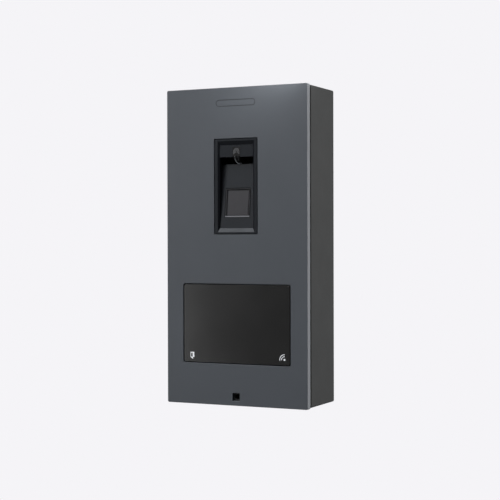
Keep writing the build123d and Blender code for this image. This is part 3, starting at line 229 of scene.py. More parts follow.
def surface(name, colour, roughness, mottle, grain, rough_swing=0.05, **sockets):
    """Solid material: mottle and grain each give a size in mm, and how strong or how deep."""
    mat, nodes, links, shader = material(name)
    size, amount = mottle
    links.new(mottled(nodes, links, colour, size, amount), shader.inputs["Base Color"])
    uneven = noise(nodes, links, size * 0.6, 3.0)
    low, high = roughness - rough_swing, roughness + rough_swing
    links.new(spread(nodes, links, uneven, low, high), shader.inputs["Roughness"])
    grain_size, grain_depth = grain
    fine = noise(nodes, links, grain_size, 2.0)
    links.new(bump(nodes, links, fine, grain_depth), shader.inputs["Normal"])
    set_sockets(shader, sockets)
    return mat


METAL_GRAIN = 0.002


def metal(name, colour, roughness, brush, scratch):
    """Bare metal with fine lines along the axis that brush stretches least."""
    mat, nodes, links, shader = material(name)
    shader.inputs["Metallic"].default_value = 1.0
    lines = noise(nodes, links, scratch, 3.0, 0.6, brush)
    dark = [c * 0.85 for c in colour]
    factor = spread(nodes, links, lines, 0.0, 1.0)
    links.new(two_tone(nodes, links, factor, dark, colour), shader.inputs["Base Color"])
    links.new(spread(nodes, links, lines, roughness * 0.8, roughness * 1.25), shader.inputs["Roughness"])
    links.new(bump(nodes, links, lines, METAL_GRAIN), shader.inputs["Normal"])
    return mat


# ---- materials of the outside -----------------------------------------------------
COOL = (0.88, 0.94, 1.0, 1)
# Half width and half height at which the plate's cut edges begin
PLATE_HALF = (38.3, 78.3)
PLATE_EDGE_BLEND = 0.15
# The plate's pressed outline, coloured with painted shade: the outs it darkens between, its lowest z and
# its widest x
PRESSED_SHADE_OUT = (33.97, 33.90)
PRESSED_LOW_Z = 66
PRESSED_HALF_X = 20
# Outs between which a material changes: painted shade on the box's rim and in the finger pocket, and the
# light guide's pale tip, partly a painted highlight
RIM_SHADE_OUT = (29.0, 28.7)
POCKET_SHADE_OUT = (29.4, 28.6)
GUIDE_OUT = (33.0, 28.5)
# Heights between which the ring's lower slope ends and its painted highlight fades out, and the pitch of
# the pad's grid
RING_HIGHLIGHT_Z = (15.2, 15.4)
PAD_GRID = 0.25


def plate_finish():
    """Satin coat on the metal front, paler on its cut edges, with painted shade darkening the pressed
    outline.
    """
    mat, nodes, links, shader = material("plate_finish")
    x, y, z = axes(nodes, links)
    from_side = calc(nodes, links, "SUBTRACT", calc(nodes, links, "ABSOLUTE", x), PLATE_HALF[0] * MM)
    from_end = calc(nodes, links, "SUBTRACT", calc(nodes, links, "ABSOLUTE", z), PLATE_HALF[1] * MM)
    nearest = calc(nodes, links, "MAXIMUM", from_side, from_end)
    edge = spread(nodes, links, nearest, 0.0, 1.0, 0.0, PLATE_EDGE_BLEND * MM)
    sunk_shade = spread(nodes, links, y, 0.0, 1.0, -PRESSED_SHADE_OUT[0] * MM, -PRESSED_SHADE_OUT[1] * MM)
    near_top = calc(nodes, links, "GREATER_THAN", z, PRESSED_LOW_Z * MM)
    inside = calc(nodes, links, "LESS_THAN", calc(nodes, links, "ABSOLUTE", x), PRESSED_HALF_X * MM)
    pressed = calc(nodes, links, "MULTIPLY", sunk_shade, calc(nodes, links, "MULTIPLY", near_top, inside))
    flat = mottled(nodes, links, (0.071, 0.080, 0.094), 20, 0.03)
    # painted shade: the pressed outline is coloured darker where shade falls in its groove
    coat = two_tone(nodes, links, pressed, flat, (0.030, 0.034, 0.040))
    cut = mottled(nodes, links, (0.170, 0.177, 0.190), 6, 0.04)
    links.new(two_tone(nodes, links, edge, coat, cut), shader.inputs["Base Color"])
    links.new(spread(nodes, links, noise(nodes, links, 12), 0.47, 0.53), shader.inputs["Roughness"])
    links.new(bump(nodes, links, noise(nodes, links, 0.25, 2.0), 0.0012), shader.inputs["Normal"])
    return mat


def box_paint():
    """Matt textured coat of the wall box, with painted shade darkening its rim where the front meets it."""
    mat, nodes, links, shader = material("box_paint")
    _, y, _ = axes(nodes, links)
    rim = spread(nodes, links, y, 1.0, 0.0, -RIM_SHADE_OUT[0] * MM, -RIM_SHADE_OUT[1] * MM)
    coat = mottled(nodes, links, (0.036, 0.037, 0.037), 12, 0.05)
    # painted shade: the rim in the seam behind the front is coloured near black
    links.new(two_tone(nodes, links, rim, coat, (0.004, 0.004, 0.004)), shader.inputs["Base Color"])
    links.new(spread(nodes, links, noise(nodes, links, 7), 0.58, 0.66), shader.inputs["Roughness"])
    links.new(bump(nodes, links, noise(nodes, links, 0.32, 2.0), 0.012), shader.inputs["Normal"])
    set_sockets(shader, {"Specular_IOR_Level": 0.3})
    return mat


def black_plastic():
    return surface("black_plastic", (0.0050, 0.0058, 0.0085), 0.40, (6, 0.08), (0.10, 0.0022), 0.03,
                   Specular_IOR_Level=0.36, Specular_Tint=COOL)


def duct_plastic():
    return surface("duct_plastic", (0.032, 0.033, 0.035), 0.55, (2, 0.08), (0.12, 0.004))


def cradle_plastic():
    """The same black plastic, with painted shade in the pocket behind the brow: darker, matt and without
    reflections there.
    """
    mat, nodes, links, shader = material("cradle_plastic")
    _, y, _ = axes(nodes, links)
    pocket_shade = spread(nodes, links, y, 0.0, 1.0, -POCKET_SHADE_OUT[0] * MM, -POCKET_SHADE_OUT[1] * MM)
    outer = mottled(nodes, links, (0.0075, 0.0082, 0.0108), 6, 0.08)
    # painted shade: far behind the front the pocket is coloured near black, made matt and its reflections
    # turned down
    links.new(two_tone(nodes, links, pocket_shade, outer, (0.0012, 0.0012, 0.0014)), shader.inputs["Base Color"])
    links.new(spread(nodes, links, pocket_shade, 0.40, 0.85, 0.0, 1.0), shader.inputs["Roughness"])
    links.new(spread(nodes, links, pocket_shade, 0.38, 0.05, 0.0, 1.0), shader.inputs["Specular IOR Level"])
    set_sockets(shader, {"Specular_Tint": COOL})
    links.new(bump(nodes, links, noise(nodes, links, 0.10, 2.0), 0.0022), shader.inputs["Normal"])
    return mat


def ring_plastic():
    """Satin ring round the pad; the slope below the pad is coloured pale as a painted highlight."""
    mat, nodes, links, shader = material("ring_plastic")
    _, _, z = axes(nodes, links)
    low = spread(nodes, links, z, 1.0, 0.0, RING_HIGHLIGHT_Z[0] * MM, RING_HIGHLIGHT_Z[1] * MM)
    satin = mottled(nodes, links, (0.030, 0.031, 0.034), 4, 0.06)
    # painted highlight: the lower slope is coloured pale where light catches it
    links.new(two_tone(nodes, links, low, satin, (0.16, 0.165, 0.18)), shader.inputs["Base Color"])
    links.new(spread(nodes, links, noise(nodes, links, 2.4), 0.21, 0.27), shader.inputs["Roughness"])
    links.new(bump(nodes, links, noise(nodes, links, 0.2, 2.0), 0.0008), shader.inputs["Normal"])
    return mat


def dark_glass():
    """Back-painted glass: almost black, with a smooth polished face."""
    return surface("dark_glass", (0.016, 0.016, 0.016), 0.20, (30, 0.05), (4.0, 0.0006), 0.02,
                   Specular_IOR_Level=0.8)


def sensor_coat():
    """Satin coat of the sensing pad with its faint grid."""
    mat, nodes, links, shader = material("sensor_coat")
    links.new(mottled(nodes, links, (0.026, 0.0255, 0.0305), 3, 0.05), shader.inputs["Base Color"])
    x, _, z = axes(nodes, links)
    pitch = PAD_GRID * MM
    ridge_x = calc(nodes, links, "PINGPONG", x, pitch)
    ridge_z = calc(nodes, links, "PINGPONG", z, pitch)
    grid = calc(nodes, links, "DIVIDE", calc(nodes, links, "MINIMUM", ridge_x, ridge_z), pitch)
    fine = noise(nodes, links, 0.08, 2.0)
    height = calc(nodes, links, "MULTIPLY_ADD", grid, 0.3, fine)
    links.new(bump(nodes, links, height, 0.001), shader.inputs["Normal"])
    links.new(spread(nodes, links, noise(nodes, links, 2.5), 0.34, 0.42), shader.inputs["Roughness"])
    return mat


def icon_print():
    """White print on the glass, lit from behind."""
    return surface("icon_print", (0.84, 0.86, 0.88), 0.45, (1.5, 0.04), (0.05, 0.001), 0.05,
                   Emission_Color=(0.9, 0.95, 1.0, 1), Emission_Strength=0.18)


def mark_ink():
    """Pale print of the finger mark."""
    return surface("mark_ink", (0.100, 0.102, 0.108), 0.5, (0.8, 0.15), (0.05, 0.002), 0.05)


def smoke_clear():
    """Smoked light guide."""
    return surface("smoke_clear", (0.010, 0.010, 0.011), 0.22, (5, 0.06), (0.6, 0.001), 0.03)


def frosted_tip_highlight():
    """Frosted rim of the light guide where its light comes out: pale towards the tip, partly as a painted
    highlight, with a faint glow of the status light.
    """
    mat, nodes, links, shader = material("frosted_tip_highlight")
    _, y, _ = axes(nodes, links)
    inward = spread(nodes, links, y, 0.0, 1.0, -GUIDE_OUT[0] * MM, -GUIDE_OUT[1] * MM)
    frost_highlight = mottled(nodes, links, (0.62, 0.65, 0.68), 0.6, 0.1)
    links.new(two_tone(nodes, links, inward, (0.10, 0.105, 0.11), frost_highlight), shader.inputs["Base Color"])
    links.new(spread(nodes, links, inward, 0.01, 0.09, 0.0, 1.0), shader.inputs["Emission Strength"])
    links.new(spread(nodes, links, noise(nodes, links, 0.4), 0.40, 0.50), shader.inputs["Roughness"])
    links.new(bump(nodes, links, noise(nodes, links, 0.06, 2.0), 0.004), shader.inputs["Normal"])
    set_sockets(shader, {"Emission_Color": (0.85, 0.93, 1.0, 1)})
    return mat


# ---- materials of the inside ------------------------------------------------------
# Size of the cells whose tracks run one way, and the pitches of tracks, ribbon lines and threads
BOARD_CELL = 4.5
TRACK_PITCH = 0.38
FLEX_PITCH = 0.4
WEAVE_PITCH = 0.12


def circuit_board():
    """Green solder mask over tracks that run along x in some cells and along z in others."""
    mat, nodes, links, shader = material("circuit_board")
    x, _, z = axes(nodes, links)
    cell = nodes.new("ShaderNodeVectorMath")
    cell.operation = "SNAP"
    cell.inputs[1].default_value = (BOARD_CELL * MM, 1.0, BOARD_CELL * MM)
    links.new(place(nodes), cell.inputs[0])
    chance = nodes.new("ShaderNodeTexWhiteNoise")
    links.new(cell.outputs[0], chance.inputs["Vector"])
    along_x = calc(nodes, links, "GREATER_THAN", chance.outputs["Value"], 0.55)
    pitch = TRACK_PITCH * MM
    line_x = calc(nodes, links, "LESS_THAN", calc(nodes, links, "PINGPONG", z, pitch), pitch * 0.38)
    line_z = calc(nodes, links, "LESS_THAN", calc(nodes, links, "PINGPONG", x, pitch), pitch * 0.38)
    choice = nodes.new("ShaderNodeMix")
    links.new(along_x, choice.inputs[0])
    links.new(line_z, choice.inputs[2])
    links.new(line_x, choice.inputs[3])
    routed = spread(nodes, links, noise(nodes, links, 9, 1.0), 0.0, 1.0, 0.46, 0.48)
    track = calc(nodes, links, "MULTIPLY", choice.outputs[0], routed)
    mask = mottled(nodes, links, (0.006, 0.060, 0.026), 10, 0.08)
    links.new(two_tone(nodes, links, track, mask, (0.016, 0.125, 0.052)), shader.inputs["Base Color"])
    links.new(bump(nodes, links, track, 0.02), shader.inputs["Normal"])
    links.new(spread(nodes, links, noise(nodes, links, 1.2), 0.24, 0.36), shader.inputs["Roughness"])
    return mat


def flex_film():
    """Amber film with copper lines along the ribbon."""
    mat, nodes, links, shader = material("flex_film")
    x, _, _ = axes(nodes, links)
    pitch = FLEX_PITCH * MM
    line = calc(nodes, links, "LESS_THAN", calc(nodes, links, "PINGPONG", x, pitch), pitch * 0.5)
    film = mottled(nodes, links, (0.42, 0.17, 0.03), 4, 0.08)
    links.new(two_tone(nodes, links, line, film, (0.62, 0.30, 0.10)), shader.inputs["Base Color"])
    links.new(bump(nodes, links, line, 0.02), shader.inputs["Normal"])
    links.new(spread(nodes, links, noise(nodes, links, 1.5), 0.25, 0.35), shader.inputs["Roughness"])
    return mat


def woven_membrane():
    """Acoustic cloth: two crossed sets of threads."""
    mat, nodes, links, shader = material("woven_membrane")
    x, _, z = axes(nodes, links)
    pitch = WEAVE_PITCH * MM
    warp = calc(nodes, links, "PINGPONG", x, pitch)
    weft = calc(nodes, links, "PINGPONG", z, pitch)
    weave = calc(nodes, links, "DIVIDE", calc(nodes, links, "MAXIMUM", warp, weft), pitch)
    threads = two_tone(nodes, links, weave, (0.05, 0.05, 0.05), (0.25, 0.25, 0.25))
    links.new(threads, shader.inputs["Base Color"])
    links.new(bump(nodes, links, weave, 0.03), shader.inputs["Normal"])
    shader.inputs["Roughness"].default_value = 0.8
    return mat


def zinc_steel():
    return metal("zinc_steel", (0.50, 0.50, 0.49), 0.36, (1, 25, 1), 0.5)


def tinned_can():
    return metal("tinned_can", (0.66, 0.65, 0.62), 0.30, (1, 1, 14), 0.8)


def aluminium_can():
    return metal("aluminium_can", (0.72, 0.72, 0.73), 0.24, (1, 18, 1), 0.5)


def copper_track():
    return metal("copper_track", (0.78, 0.42, 0.26), 0.30, (6, 1, 6), 0.6)


def brass_pin():
    return metal("brass_pin", (0.78, 0.62, 0.32), 0.25, (1, 1, 20), 0.4)


def gold_pad():
    return metal("gold_pad", (0.86, 0.66, 0.32), 0.28, (5, 1, 5), 0.3)


def solder():
    return metal("solder", (0.70, 0.70, 0.69), 0.22, (3, 3, 3), 0.4)


def ferrite():
    return surface("ferrite", (0.045, 0.045, 0.048), 0.6, (3, 0.1), (0.15, 0.01))


def foam_tape():
    return surface("foam_tape", (0.012, 0.012, 0.012), 0.85, (2, 0.15), (0.25, 0.06))


def carrier_plastic():
    return surface("carrier_plastic", (0.022, 0.022, 0.024), 0.55, (9, 0.08), (0.22, 0.010))


def chip_epoxy():
    return surface("chip_epoxy", (0.014, 0.014, 0.015), 0.5, (2, 0.1), (0.12, 0.006))


def relay_case():
    return surface("relay_case", (0.020, 0.10, 0.33), 0.32, (5, 0.06), (0.5, 0.003))


def terminal_green():
    return surface("terminal_green", (0.020, 0.215, 0.075), 0.42, (4, 0.07), (0.2, 0.006))


def socket_ivory():
    return surface("socket_ivory", (0.62, 0.59, 0.50), 0.45, (2, 0.05), (0.15, 0.004))


def switch_black():
    return surface("switch_black", (0.013, 0.013, 0.014), 0.42, (2, 0.08), (0.12, 0.004))


def plunger_white():
    return surface("plunger_white", (0.70, 0.70, 0.67), 0.38, (2, 0.04), (0.15, 0.003))


def button_red():
    return surface("button_red", (0.36, 0.035, 0.025), 0.40, (2, 0.06), (0.15, 0.003))


def seal_rubber():
    return surface("seal_rubber", (0.004, 0.004, 0.004), 0.80, (3, 0.12), (0.2, 0.012),
                   Specular_IOR_Level=0.15)


def grommet_rubber():
    return surface("grommet_rubber", (0.020, 0.020, 0.021), 0.62, (4, 0.12), (0.25, 0.012))


def lamp_lens():
    return surface("lamp_lens", (0.82, 0.74, 0.36), 0.30, (0.8, 0.08), (0.1, 0.004))


def ceramic_tan():
    return surface("ceramic_tan", (0.32, 0.23, 0.14), 0.45, (0.8, 0.12), (0.08, 0.004))


LOOKS = {
    plate_finish: ["front_plate"],
    box_paint: ["back_box"],
    dark_glass: ["glass_panel"],
    black_plastic: ["finger_bezel", "brow_panel", "module_cover"],
    duct_plastic: ["port_duct"],
    cradle_plastic: ["finger_cradle"],
    ring_plastic: ["sensor_ring"],
    sensor_coat: ["sensor_pad"],
    icon_print: ["door_icon", "wireless_icon"],
    mark_ink: ["finger_icon"],
    smoke_clear: ["light_guide"],
    circuit_board: ["main_board", "reader_board", "module_board", "sensor_board"],
    flex_film: ["sensor_flex"],
    woven_membrane: ["port_membrane"],
    zinc_steel: ["plate_studs", "stud_nuts", "module_screws", "board_screws", "terminal_screws",
                 "lock_pin", "lock_screw"],
    tinned_can: ["processor_shield", "reset_switch"],
    aluminium_can: ["capacitors"],
    copper_track: ["antenna_coil"],
    brass_pin: ["terminal_pins"],
    ferrite: ["ferrite_sheet"],
    foam_tape: ["panel_tape"],
    carrier_plastic: ["chassis"],
    chip_epoxy: ["board_chips", "network_magnetics"],
    relay_case: ["door_relay"],
    terminal_green: ["terminal_header", "terminal_plug"],
    socket_ivory: ["flex_socket"],
    switch_black: ["tamper_switch", "buzzer"],
    plunger_white: ["tamper_plunger"],
    button_red: ["reset_button"],
    seal_rubber: ["seal_gasket"],
    grommet_rubber: ["cable_grommet"],
    lamp_lens: ["icon_leds", "status_leds"],
}
made = {}


def look(make):
    """The material that a function makes, made once."""
    if make not in made:
        made[make] = make()
    return made[make]


def dress_nodes():
    for make, names in LOOKS.items():
        for name in names:
            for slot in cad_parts[name].material_slots:
                slot.material = look(make)


# ---- detail pieces: shapes --------------------------------------------------------
def piece(name, body, form, make, smooth=False):
    """A separate visual object made from a bmesh, riding on a body."""
    bmesh.ops.recalc_face_normals(form, faces=form.faces)
    mesh = bpy.data.meshes.new(name)
    form.to_mesh(mesh)
    form.free()
    for polygon in mesh.polygons:
        polygon.use_smooth = smooth
    mesh.materials.append(look(make))
    thing = bpy.data.objects.new(name, mesh)
    bpy.context.scene.collection.objects.link(thing)
    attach(thing, body)


def block(form, centre, size, rounding):
    """Box with broken edges: centre as x, out, z and size as width, depth, height, in mm."""
    x, out, z = centre
    scale = Matrix.Diagonal((*(side * MM for side in size), 1.0))
    where = Matrix.Translation(Vector((x, -out, z)) * MM)
    corners = bmesh.ops.create_cube(form, size=1.0, matrix=where @ scale)["verts"]
    edges = list({edge for corner in corners for edge in corner.link_edges})
    bmesh.ops.bevel(form, geom=edges, offset=rounding * MM, segments=2, affect="EDGES", profile=0.6)


def circle(form, centre, radius, out, sides):
    """Points round an axis along Y through x, z."""
    x, z = centre
    turns = [2 * math.pi * step / sides for step in range(sides)]
    spots = [Vector((x + radius * math.cos(turn), -out, z + radius * math.sin(turn))) for turn in turns]
    return [form.verts.new(spot * MM) for spot in spots]


def skin(form, rings):
    """Faces from each ring of points to the next."""
    for near, far in zip(rings, rings[1:]):
        for step in range(len(near)):
            after = (step + 1) % len(near)
            form.faces.new((near[step], near[after], far[after], far[step]))


def turned(form, centre, profile, sides):
    """Solid lathed about an axis along Y through x, z: the profile lists radius and out, in mm."""
    rings = [circle(form, centre, radius, out, sides) for radius, out in profile]
    skin(form, rings)
    form.faces.new(rings[0])
    form.faces.new(rings[-1])


def washer(form, centre, radii, outs, sides=40):
    """Flat ring about an axis along Y, between two radii and two outs."""
    inner, outer = radii
    low, high = outs
    corners = [(inner, low), (outer, low), (outer, high), (inner, high)]
    rings = [circle(form, centre, radius, out, sides) for radius, out in corners]
    skin(form, rings + rings[:1])


def prism(form, outline, out_low, out_high):
    """Flat shape in x and z, in mm, given thickness between two outs."""
    low = [form.verts.new(Vector((x, -out_low, z)) * MM) for x, z in outline]
    high = [form.verts.new(Vector((x, -out_high, z)) * MM) for x, z in outline]
    form.faces.new(low)
    form.faces.new(high)
    for step in range(len(outline)):
        after = (step + 1) % len(outline)
        form.faces.new((low[step], low[after], high[after], high[step]))


def tube(form, path, radii, sides=10):
    """Round bar along points given as x, out, z, in mm, with a radius at each point."""
    spots = [Vector((x, -out, z)) for x, out, z in path]
    rings = []
    for step, (spot, radius) in enumerate(zip(spots, radii)):
        before, after = spots[max(step - 1, 0)], spots[min(step + 1, len(spots) - 1)]
        along = (after - before).normalized()
        if step == 0:
            side = along.orthogonal().normalized()
        else:
            side = (side - along * side.dot(along)).normalized()
        other = along.cross(side)
        ring = []
        for turn in range(sides):
            angle = 2 * math.pi * turn / sides
            away = (side * math.cos(angle) + other * math.sin(angle)) * radius
            ring.append(form.verts.new((spot + away) * MM))
        rings.append(ring)
    skin(form, rings)
    form.faces.new(rings[0])
    form.faces.new(rings[-1])


def arc_through(first, middle, last, count):
    """Points on the circle through three points of a plane."""
    (ax, ay), (bx, by), (cx, cy) = first, middle, last
    d = 2 * (ax * (by - cy) + bx * (cy - ay) + cx * (ay - by))
    a2, b2, c2 = ax * ax + ay * ay, bx * bx + by * by, cx * cx + cy * cy
    ox = (a2 * (by - cy) + b2 * (cy - ay) + c2 * (ay - by)) / d
    oy = (a2 * (cx - bx) + b2 * (ax - cx) + c2 * (bx - ax)) / d
    radius = math.hypot(ax - ox, ay - oy)
    start, end = math.atan2(ay - oy, ax - ox), math.atan2(cy - oy, cx - ox)
    sweep = (end - start + math.pi) % (2 * math.pi) - math.pi
    turns = [start + sweep * step / (count - 1) for step in range(count)]
    return [(ox + radius * math.cos(turn), oy + radius * math.sin(turn)) for turn in turns]


# ---- detail pieces: the light guide's rim, with painted highlights ----------------
# The front line of the tongue, as out and z
TONGUE_TOP = (33.15, 44.6)
TONGUE_BEND = (31.64, 42.26)
TONGUE_TIP = (27.95, 41.3)
# How far each bead is from the middle, at the top and at the tip, and its rise at the tip
BEAD_X = (0.9, 0.85)
BEAD_LIFT = 0.12


def guide_rim_highlight():
    """Pale beads down the front of the tongue, painted highlights strongest on the left and across the tip.
    """
    bend = arc_through(TONGUE_TOP, TONGUE_BEND, TONGUE_TIP, 14)
    drop = TONGUE_TOP[1] - TONGUE_TIP[1]
    form = bmesh.new()
    # painted highlight: the left bead is made thicker than the right because light falls from the left
    for side, highlight_strength in ((-1, 1.0), (1, 0.25)):
        path, radii = [], []
        for out, z in bend:
            share = (TONGUE_TOP[1] - z) / drop
            x = BEAD_X[0] + (BEAD_X[1] - BEAD_X[0]) * share
            path.append((side * x, out, z + BEAD_LIFT * share))
            radii.append((0.14 + 0.2 * share) * highlight_strength)
        tube(form, path, radii)
    tip_out, tip_z = TONGUE_TIP[0] + 0.25, TONGUE_TIP[1] + 0.3
    steps = (-1.0, -0.5, 0, 0.5, 1.0)
    tube(form, [(x, tip_out, tip_z) for x in steps], [0.40 - 0.12 * abs(x) for x in steps])
    piece("guide_rim_highlight", "front_unit", form, frosted_tip_highlight, smooth=True)


# ---- detail pieces: the main board ------------------------------------------------
# How far out the board's rear face is; its parts stand on that face, towards the wall
BOARD = 17.4
# Chips as low x, high x, low z, high z
CHIPS = [(-2, 2, -16, -10), (-20.5, -15.5, -15.5, -10.5), (17.5, 22.5, 28, 34), (17, 23, 37.5, 42.5),
         (-23.5, -16.5, 32.5, 39.5)]
CHIP_TOP = 1.12
CHIP_END_MARGIN = 0.8
CHIP_PITCH = 0.65
CHIP_LEG_W = 0.3
MAGNETICS = (12.65, 25.35, -18.75, -9.25)
MAGNETICS_PITCH = 1.27
MAGNETICS_LEG_W = 0.5
# The leg's middle line, as run from the chip and rise off the board
LEG_PROFILE = [(0.0, 0.62), (0.3, 0.62), (0.5, 0.12), (0.85, 0.12)]
LEG_T = 0.12


def leg(form, x, z, away, width):
    """Gull-wing leg from a chip's side at x, z; away is the unit step away from the chip."""
    upper = [(run, rise + LEG_T / 2) for run, rise in LEG_PROFILE]
    lower = [(run, rise - LEG_T / 2) for run, rise in reversed(LEG_PROFILE)]
    outline = upper + lower
    across = Vector((-away[1], 0, away[0]))
    sides = []
    for shift in (-width / 2, width / 2):
        side = []
        for run, rise in outline:
            spot = Vector((x + away[0] * run, -BOARD + rise, z + away[1] * run)) + across * shift
            side.append(form.verts.new(spot * MM))
        sides.append(side)
    form.faces.new(sides[0])
    form.faces.new(sides[1])
    for step in range(len(outline)):
        after = (step + 1) % len(outline)
        form.faces.new((sides[0][step], sides[0][after], sides[1][after], sides[1][step]))


def chip_legs():
    form = bmesh.new()
    for x0, x1, z0, z1 in CHIPS:
        count = int((z1 - z0 - CHIP_END_MARGIN) / CHIP_PITCH) + 1
        start = (z0 + z1 - (count - 1) * CHIP_PITCH) / 2
        for step in range(count):
            z = start + step * CHIP_PITCH
            leg(form, x0, z, (-1, 0), CHIP_LEG_W)
            leg(form, x1, z, (1, 0), CHIP_LEG_W)
    x0, x1, z0, z1 = MAGNETICS
    for step in range(8):
        x = (x0 + x1) / 2 + (step - 3.5) * MAGNETICS_PITCH
        leg(form, x, z0, (0, -1), MAGNETICS_LEG_W)
        leg(form, x, z1, (0, 1), MAGNETICS_LEG_W)
    piece("chip_legs", "front_unit", form, solder)


def chip_marks():
    """Small rings that mark the first leg of each chip."""
    form = bmesh.new()
    for _, x1, _, z1 in CHIPS:
        outs = (BOARD - CHIP_TOP, BOARD - CHIP_TOP + 0.03)
        washer(form, (x1 - 0.9, z1 - 0.9), (0.28, 0.36), outs, 20)
    piece("chip_marks", "front_unit", form, solder)


# Rows of small parts: first x, first z, step x, step z, how many
PART_ROWS = [
    (-7, 24.4, 2.2, 0, 9), (-14, 48.6, 2.0, 0, 15), (26.4, 29, 0, 2.2, 7), (-27.2, 31, 0, 2.2, 5),
    (-23.8, -16, 0, 1.9, 4), (-12.6, -15.5, 0, 1.9, 3), (-4.8, -16, 0, 1.9, 4), (4.8, -16, 0, 1.9, 4),
    (13.4, -6.8, 2.2, 0, 6), (-2, 9.5, 2.4, 0, 11), (-2, 5.8, 2.4, 0, 6), (-18, -56.5, 2.4, 0, 14),
    (-18, -60, 2.4, 0, 9), (19, -30, 0, 2.2, 4),
]
PART_LENGTH = 0.9
PART_WIDTH = 0.75
PART_CAP = 0.34
RESISTOR_SHARE = 0.45
RESISTOR_TALL = 0.4
CAPACITOR_TALL = 0.75


def small_parts():
    """Surface-mount resistors and capacitors with tinned ends."""
    pick = random.Random(7)
    ends, tan, black = bmesh.new(), bmesh.new(), bmesh.new()
    for x0, z0, dx, dz, count in PART_ROWS:
        for step in range(count):
            x, z = x0 + dx * step, z0 + dz * step
            upright = dz == 0
            resistor = pick.random() < RESISTOR_SHARE
            tall = RESISTOR_TALL if resistor else CAPACITOR_TALL
            out = BOARD - tall / 2
            size = (PART_WIDTH, tall, PART_LENGTH) if upright else (PART_LENGTH, tall, PART_WIDTH)
            block(black if resistor else tan, (x, out, z), size, 0.04)
            wide = PART_WIDTH + 0.04
            cap = (wide, tall + 0.04, PART_CAP) if upright else (PART_CAP, tall + 0.04, wide)
            for side in (-1, 1):
                reach = side * (PART_LENGTH / 2 + 0.16)
                spot = (x, out, z + reach) if upright else (x + reach, out, z)
                block(ends, spot, cap, 0.07)
    piece("part_ends", "front_unit", ends, solder)
    piece("ceramic_parts", "front_unit", tan, ceramic_tan)
    piece("resistor_parts", "front_unit", black, chip_epoxy)


SCREW_SPOTS = [(x, z) for x in (-30.4, 30.4) for z in (48, -10, -57)]
SCREW_LAND = (1.7, 2.6)
# Columns of test lands: x, lowest z, how many
TEST_LANDS = [(29.5, -46, 8), (-29.5, -44, 6)]
TEST_LAND_R = 0.55
GOLD_T = 0.03


def gold_lands():
    """Gold rings round the board screws and columns of test lands."""
    form = bmesh.new()
    outs = (BOARD, BOARD - GOLD_T)
    for spot in SCREW_SPOTS:
        washer(form, spot, SCREW_LAND, outs)
    for x, low_z, count in TEST_LANDS:
        for step in range(count):
            turned(form, (x, low_z + step * 3), [(TEST_LAND_R, out) for out in outs], 24)
    piece("gold_lands", "front_unit", form, gold_pad)


CAN_SPOTS = [(2, 19), (11, 19), (20, 19)]
CAN_TOP = 10.4
CAN_FOOT_HALF = 3.35
CAN_FOOT_CUT = 1.0
CAN_MARK_R = 2.75
CAN_MARK_SWEEP = 110


def can_details():
    """Moulded feet and polarity marks of the three capacitor cans."""
    form = bmesh.new()
    half = CAN_FOOT_HALF
    cut = half - CAN_FOOT_CUT
    foot = [(-half, -half), (half, -half), (half, cut), (cut, half), (-cut, half), (-half, cut)]
    turns = [math.radians(CAN_MARK_SWEEP * (step / 14 - 0.5)) for step in range(15)]
    mark = [(CAN_MARK_R * math.sin(turn), -CAN_MARK_R * math.cos(turn)) for turn in turns]
    for x, z in CAN_SPOTS:
        prism(form, [(x + dx, z + dz) for dx, dz in foot], BOARD, BOARD - 0.75)
        prism(form, [(x + dx, z + dz) for dx, dz in mark], CAN_TOP, CAN_TOP - 0.02)
    piece("can_feet", "front_unit", form, chip_epoxy)


CRYSTAL_AT = (-13.7, 37)
INDUCTORS = [(-5.2, 15.4), (-5.2, 21.4)]
DIODES = [(-12, -18.3), (-6, -18.3), (0, -18.8), (6, -18.8), (15, 1.5), (22, 1.5)]
HEADER_X = -24.5
HEADER_Z = 4
HEADER_PITCH = 2.54


def board_extras():
    """Crystal, power inductors, clamp diodes and a pin header."""
    cans = bmesh.new()
    block(cans, (CRYSTAL_AT[0], BOARD - 0.55, CRYSTAL_AT[1]), (2.4, 1.1, 5.2), 0.45)
    piece("crystal_can", "front_unit", cans, tinned_can, smooth=True)
    cores, wire = bmesh.new(), bmesh.new()
    for x, z in INDUCTORS:
        block(cores, (x, BOARD - 1.1, z), (5.0, 2.2, 5.0), 0.5)
        washer(wire, (x, z), (0.9, 1.9), (BOARD - 2.2, BOARD - 2.24))
    piece("inductor_cores", "front_unit", cores, ferrite)
    piece("inductor_wires", "front_unit", wire, copper_track)
    bodies, tabs = bmesh.new(), bmesh.new()
    for x, z in DIODES:
        block(bodies, (x, BOARD - 1.1, z), (4.0, 2.0, 2.4), 0.25)
        for side in (-1, 1):
            block(tabs, (x + side * 2.15, BOARD - 0.35, z), (0.6, 0.7, 1.4), 0.08)
    piece("diode_bodies", "front_unit", bodies, chip_epoxy)
    piece("diode_tabs", "front_unit", tabs, solder)
    base, pins = bmesh.new(), bmesh.new()
    for step in range(6):
        x = HEADER_X + HEADER_PITCH * step
        block(base, (x, BOARD - 1.25, HEADER_Z), (2.5, 2.5, 2.5), 0.35)
        block(pins, (x, BOARD - 4.2, HEADER_Z), (0.64, 8.4, 0.64), 0.14)
    piece("header_base", "front_unit", base, switch_black)
    piece("header_pins", "front_unit", pins, brass_pin)


# The shield stands at x = 0
SHIELD_MID_Z = 36
SHIELD_HALF = (11, 10)
SHIELD_OUT = 15.0
BORDER_INSET = 1.6


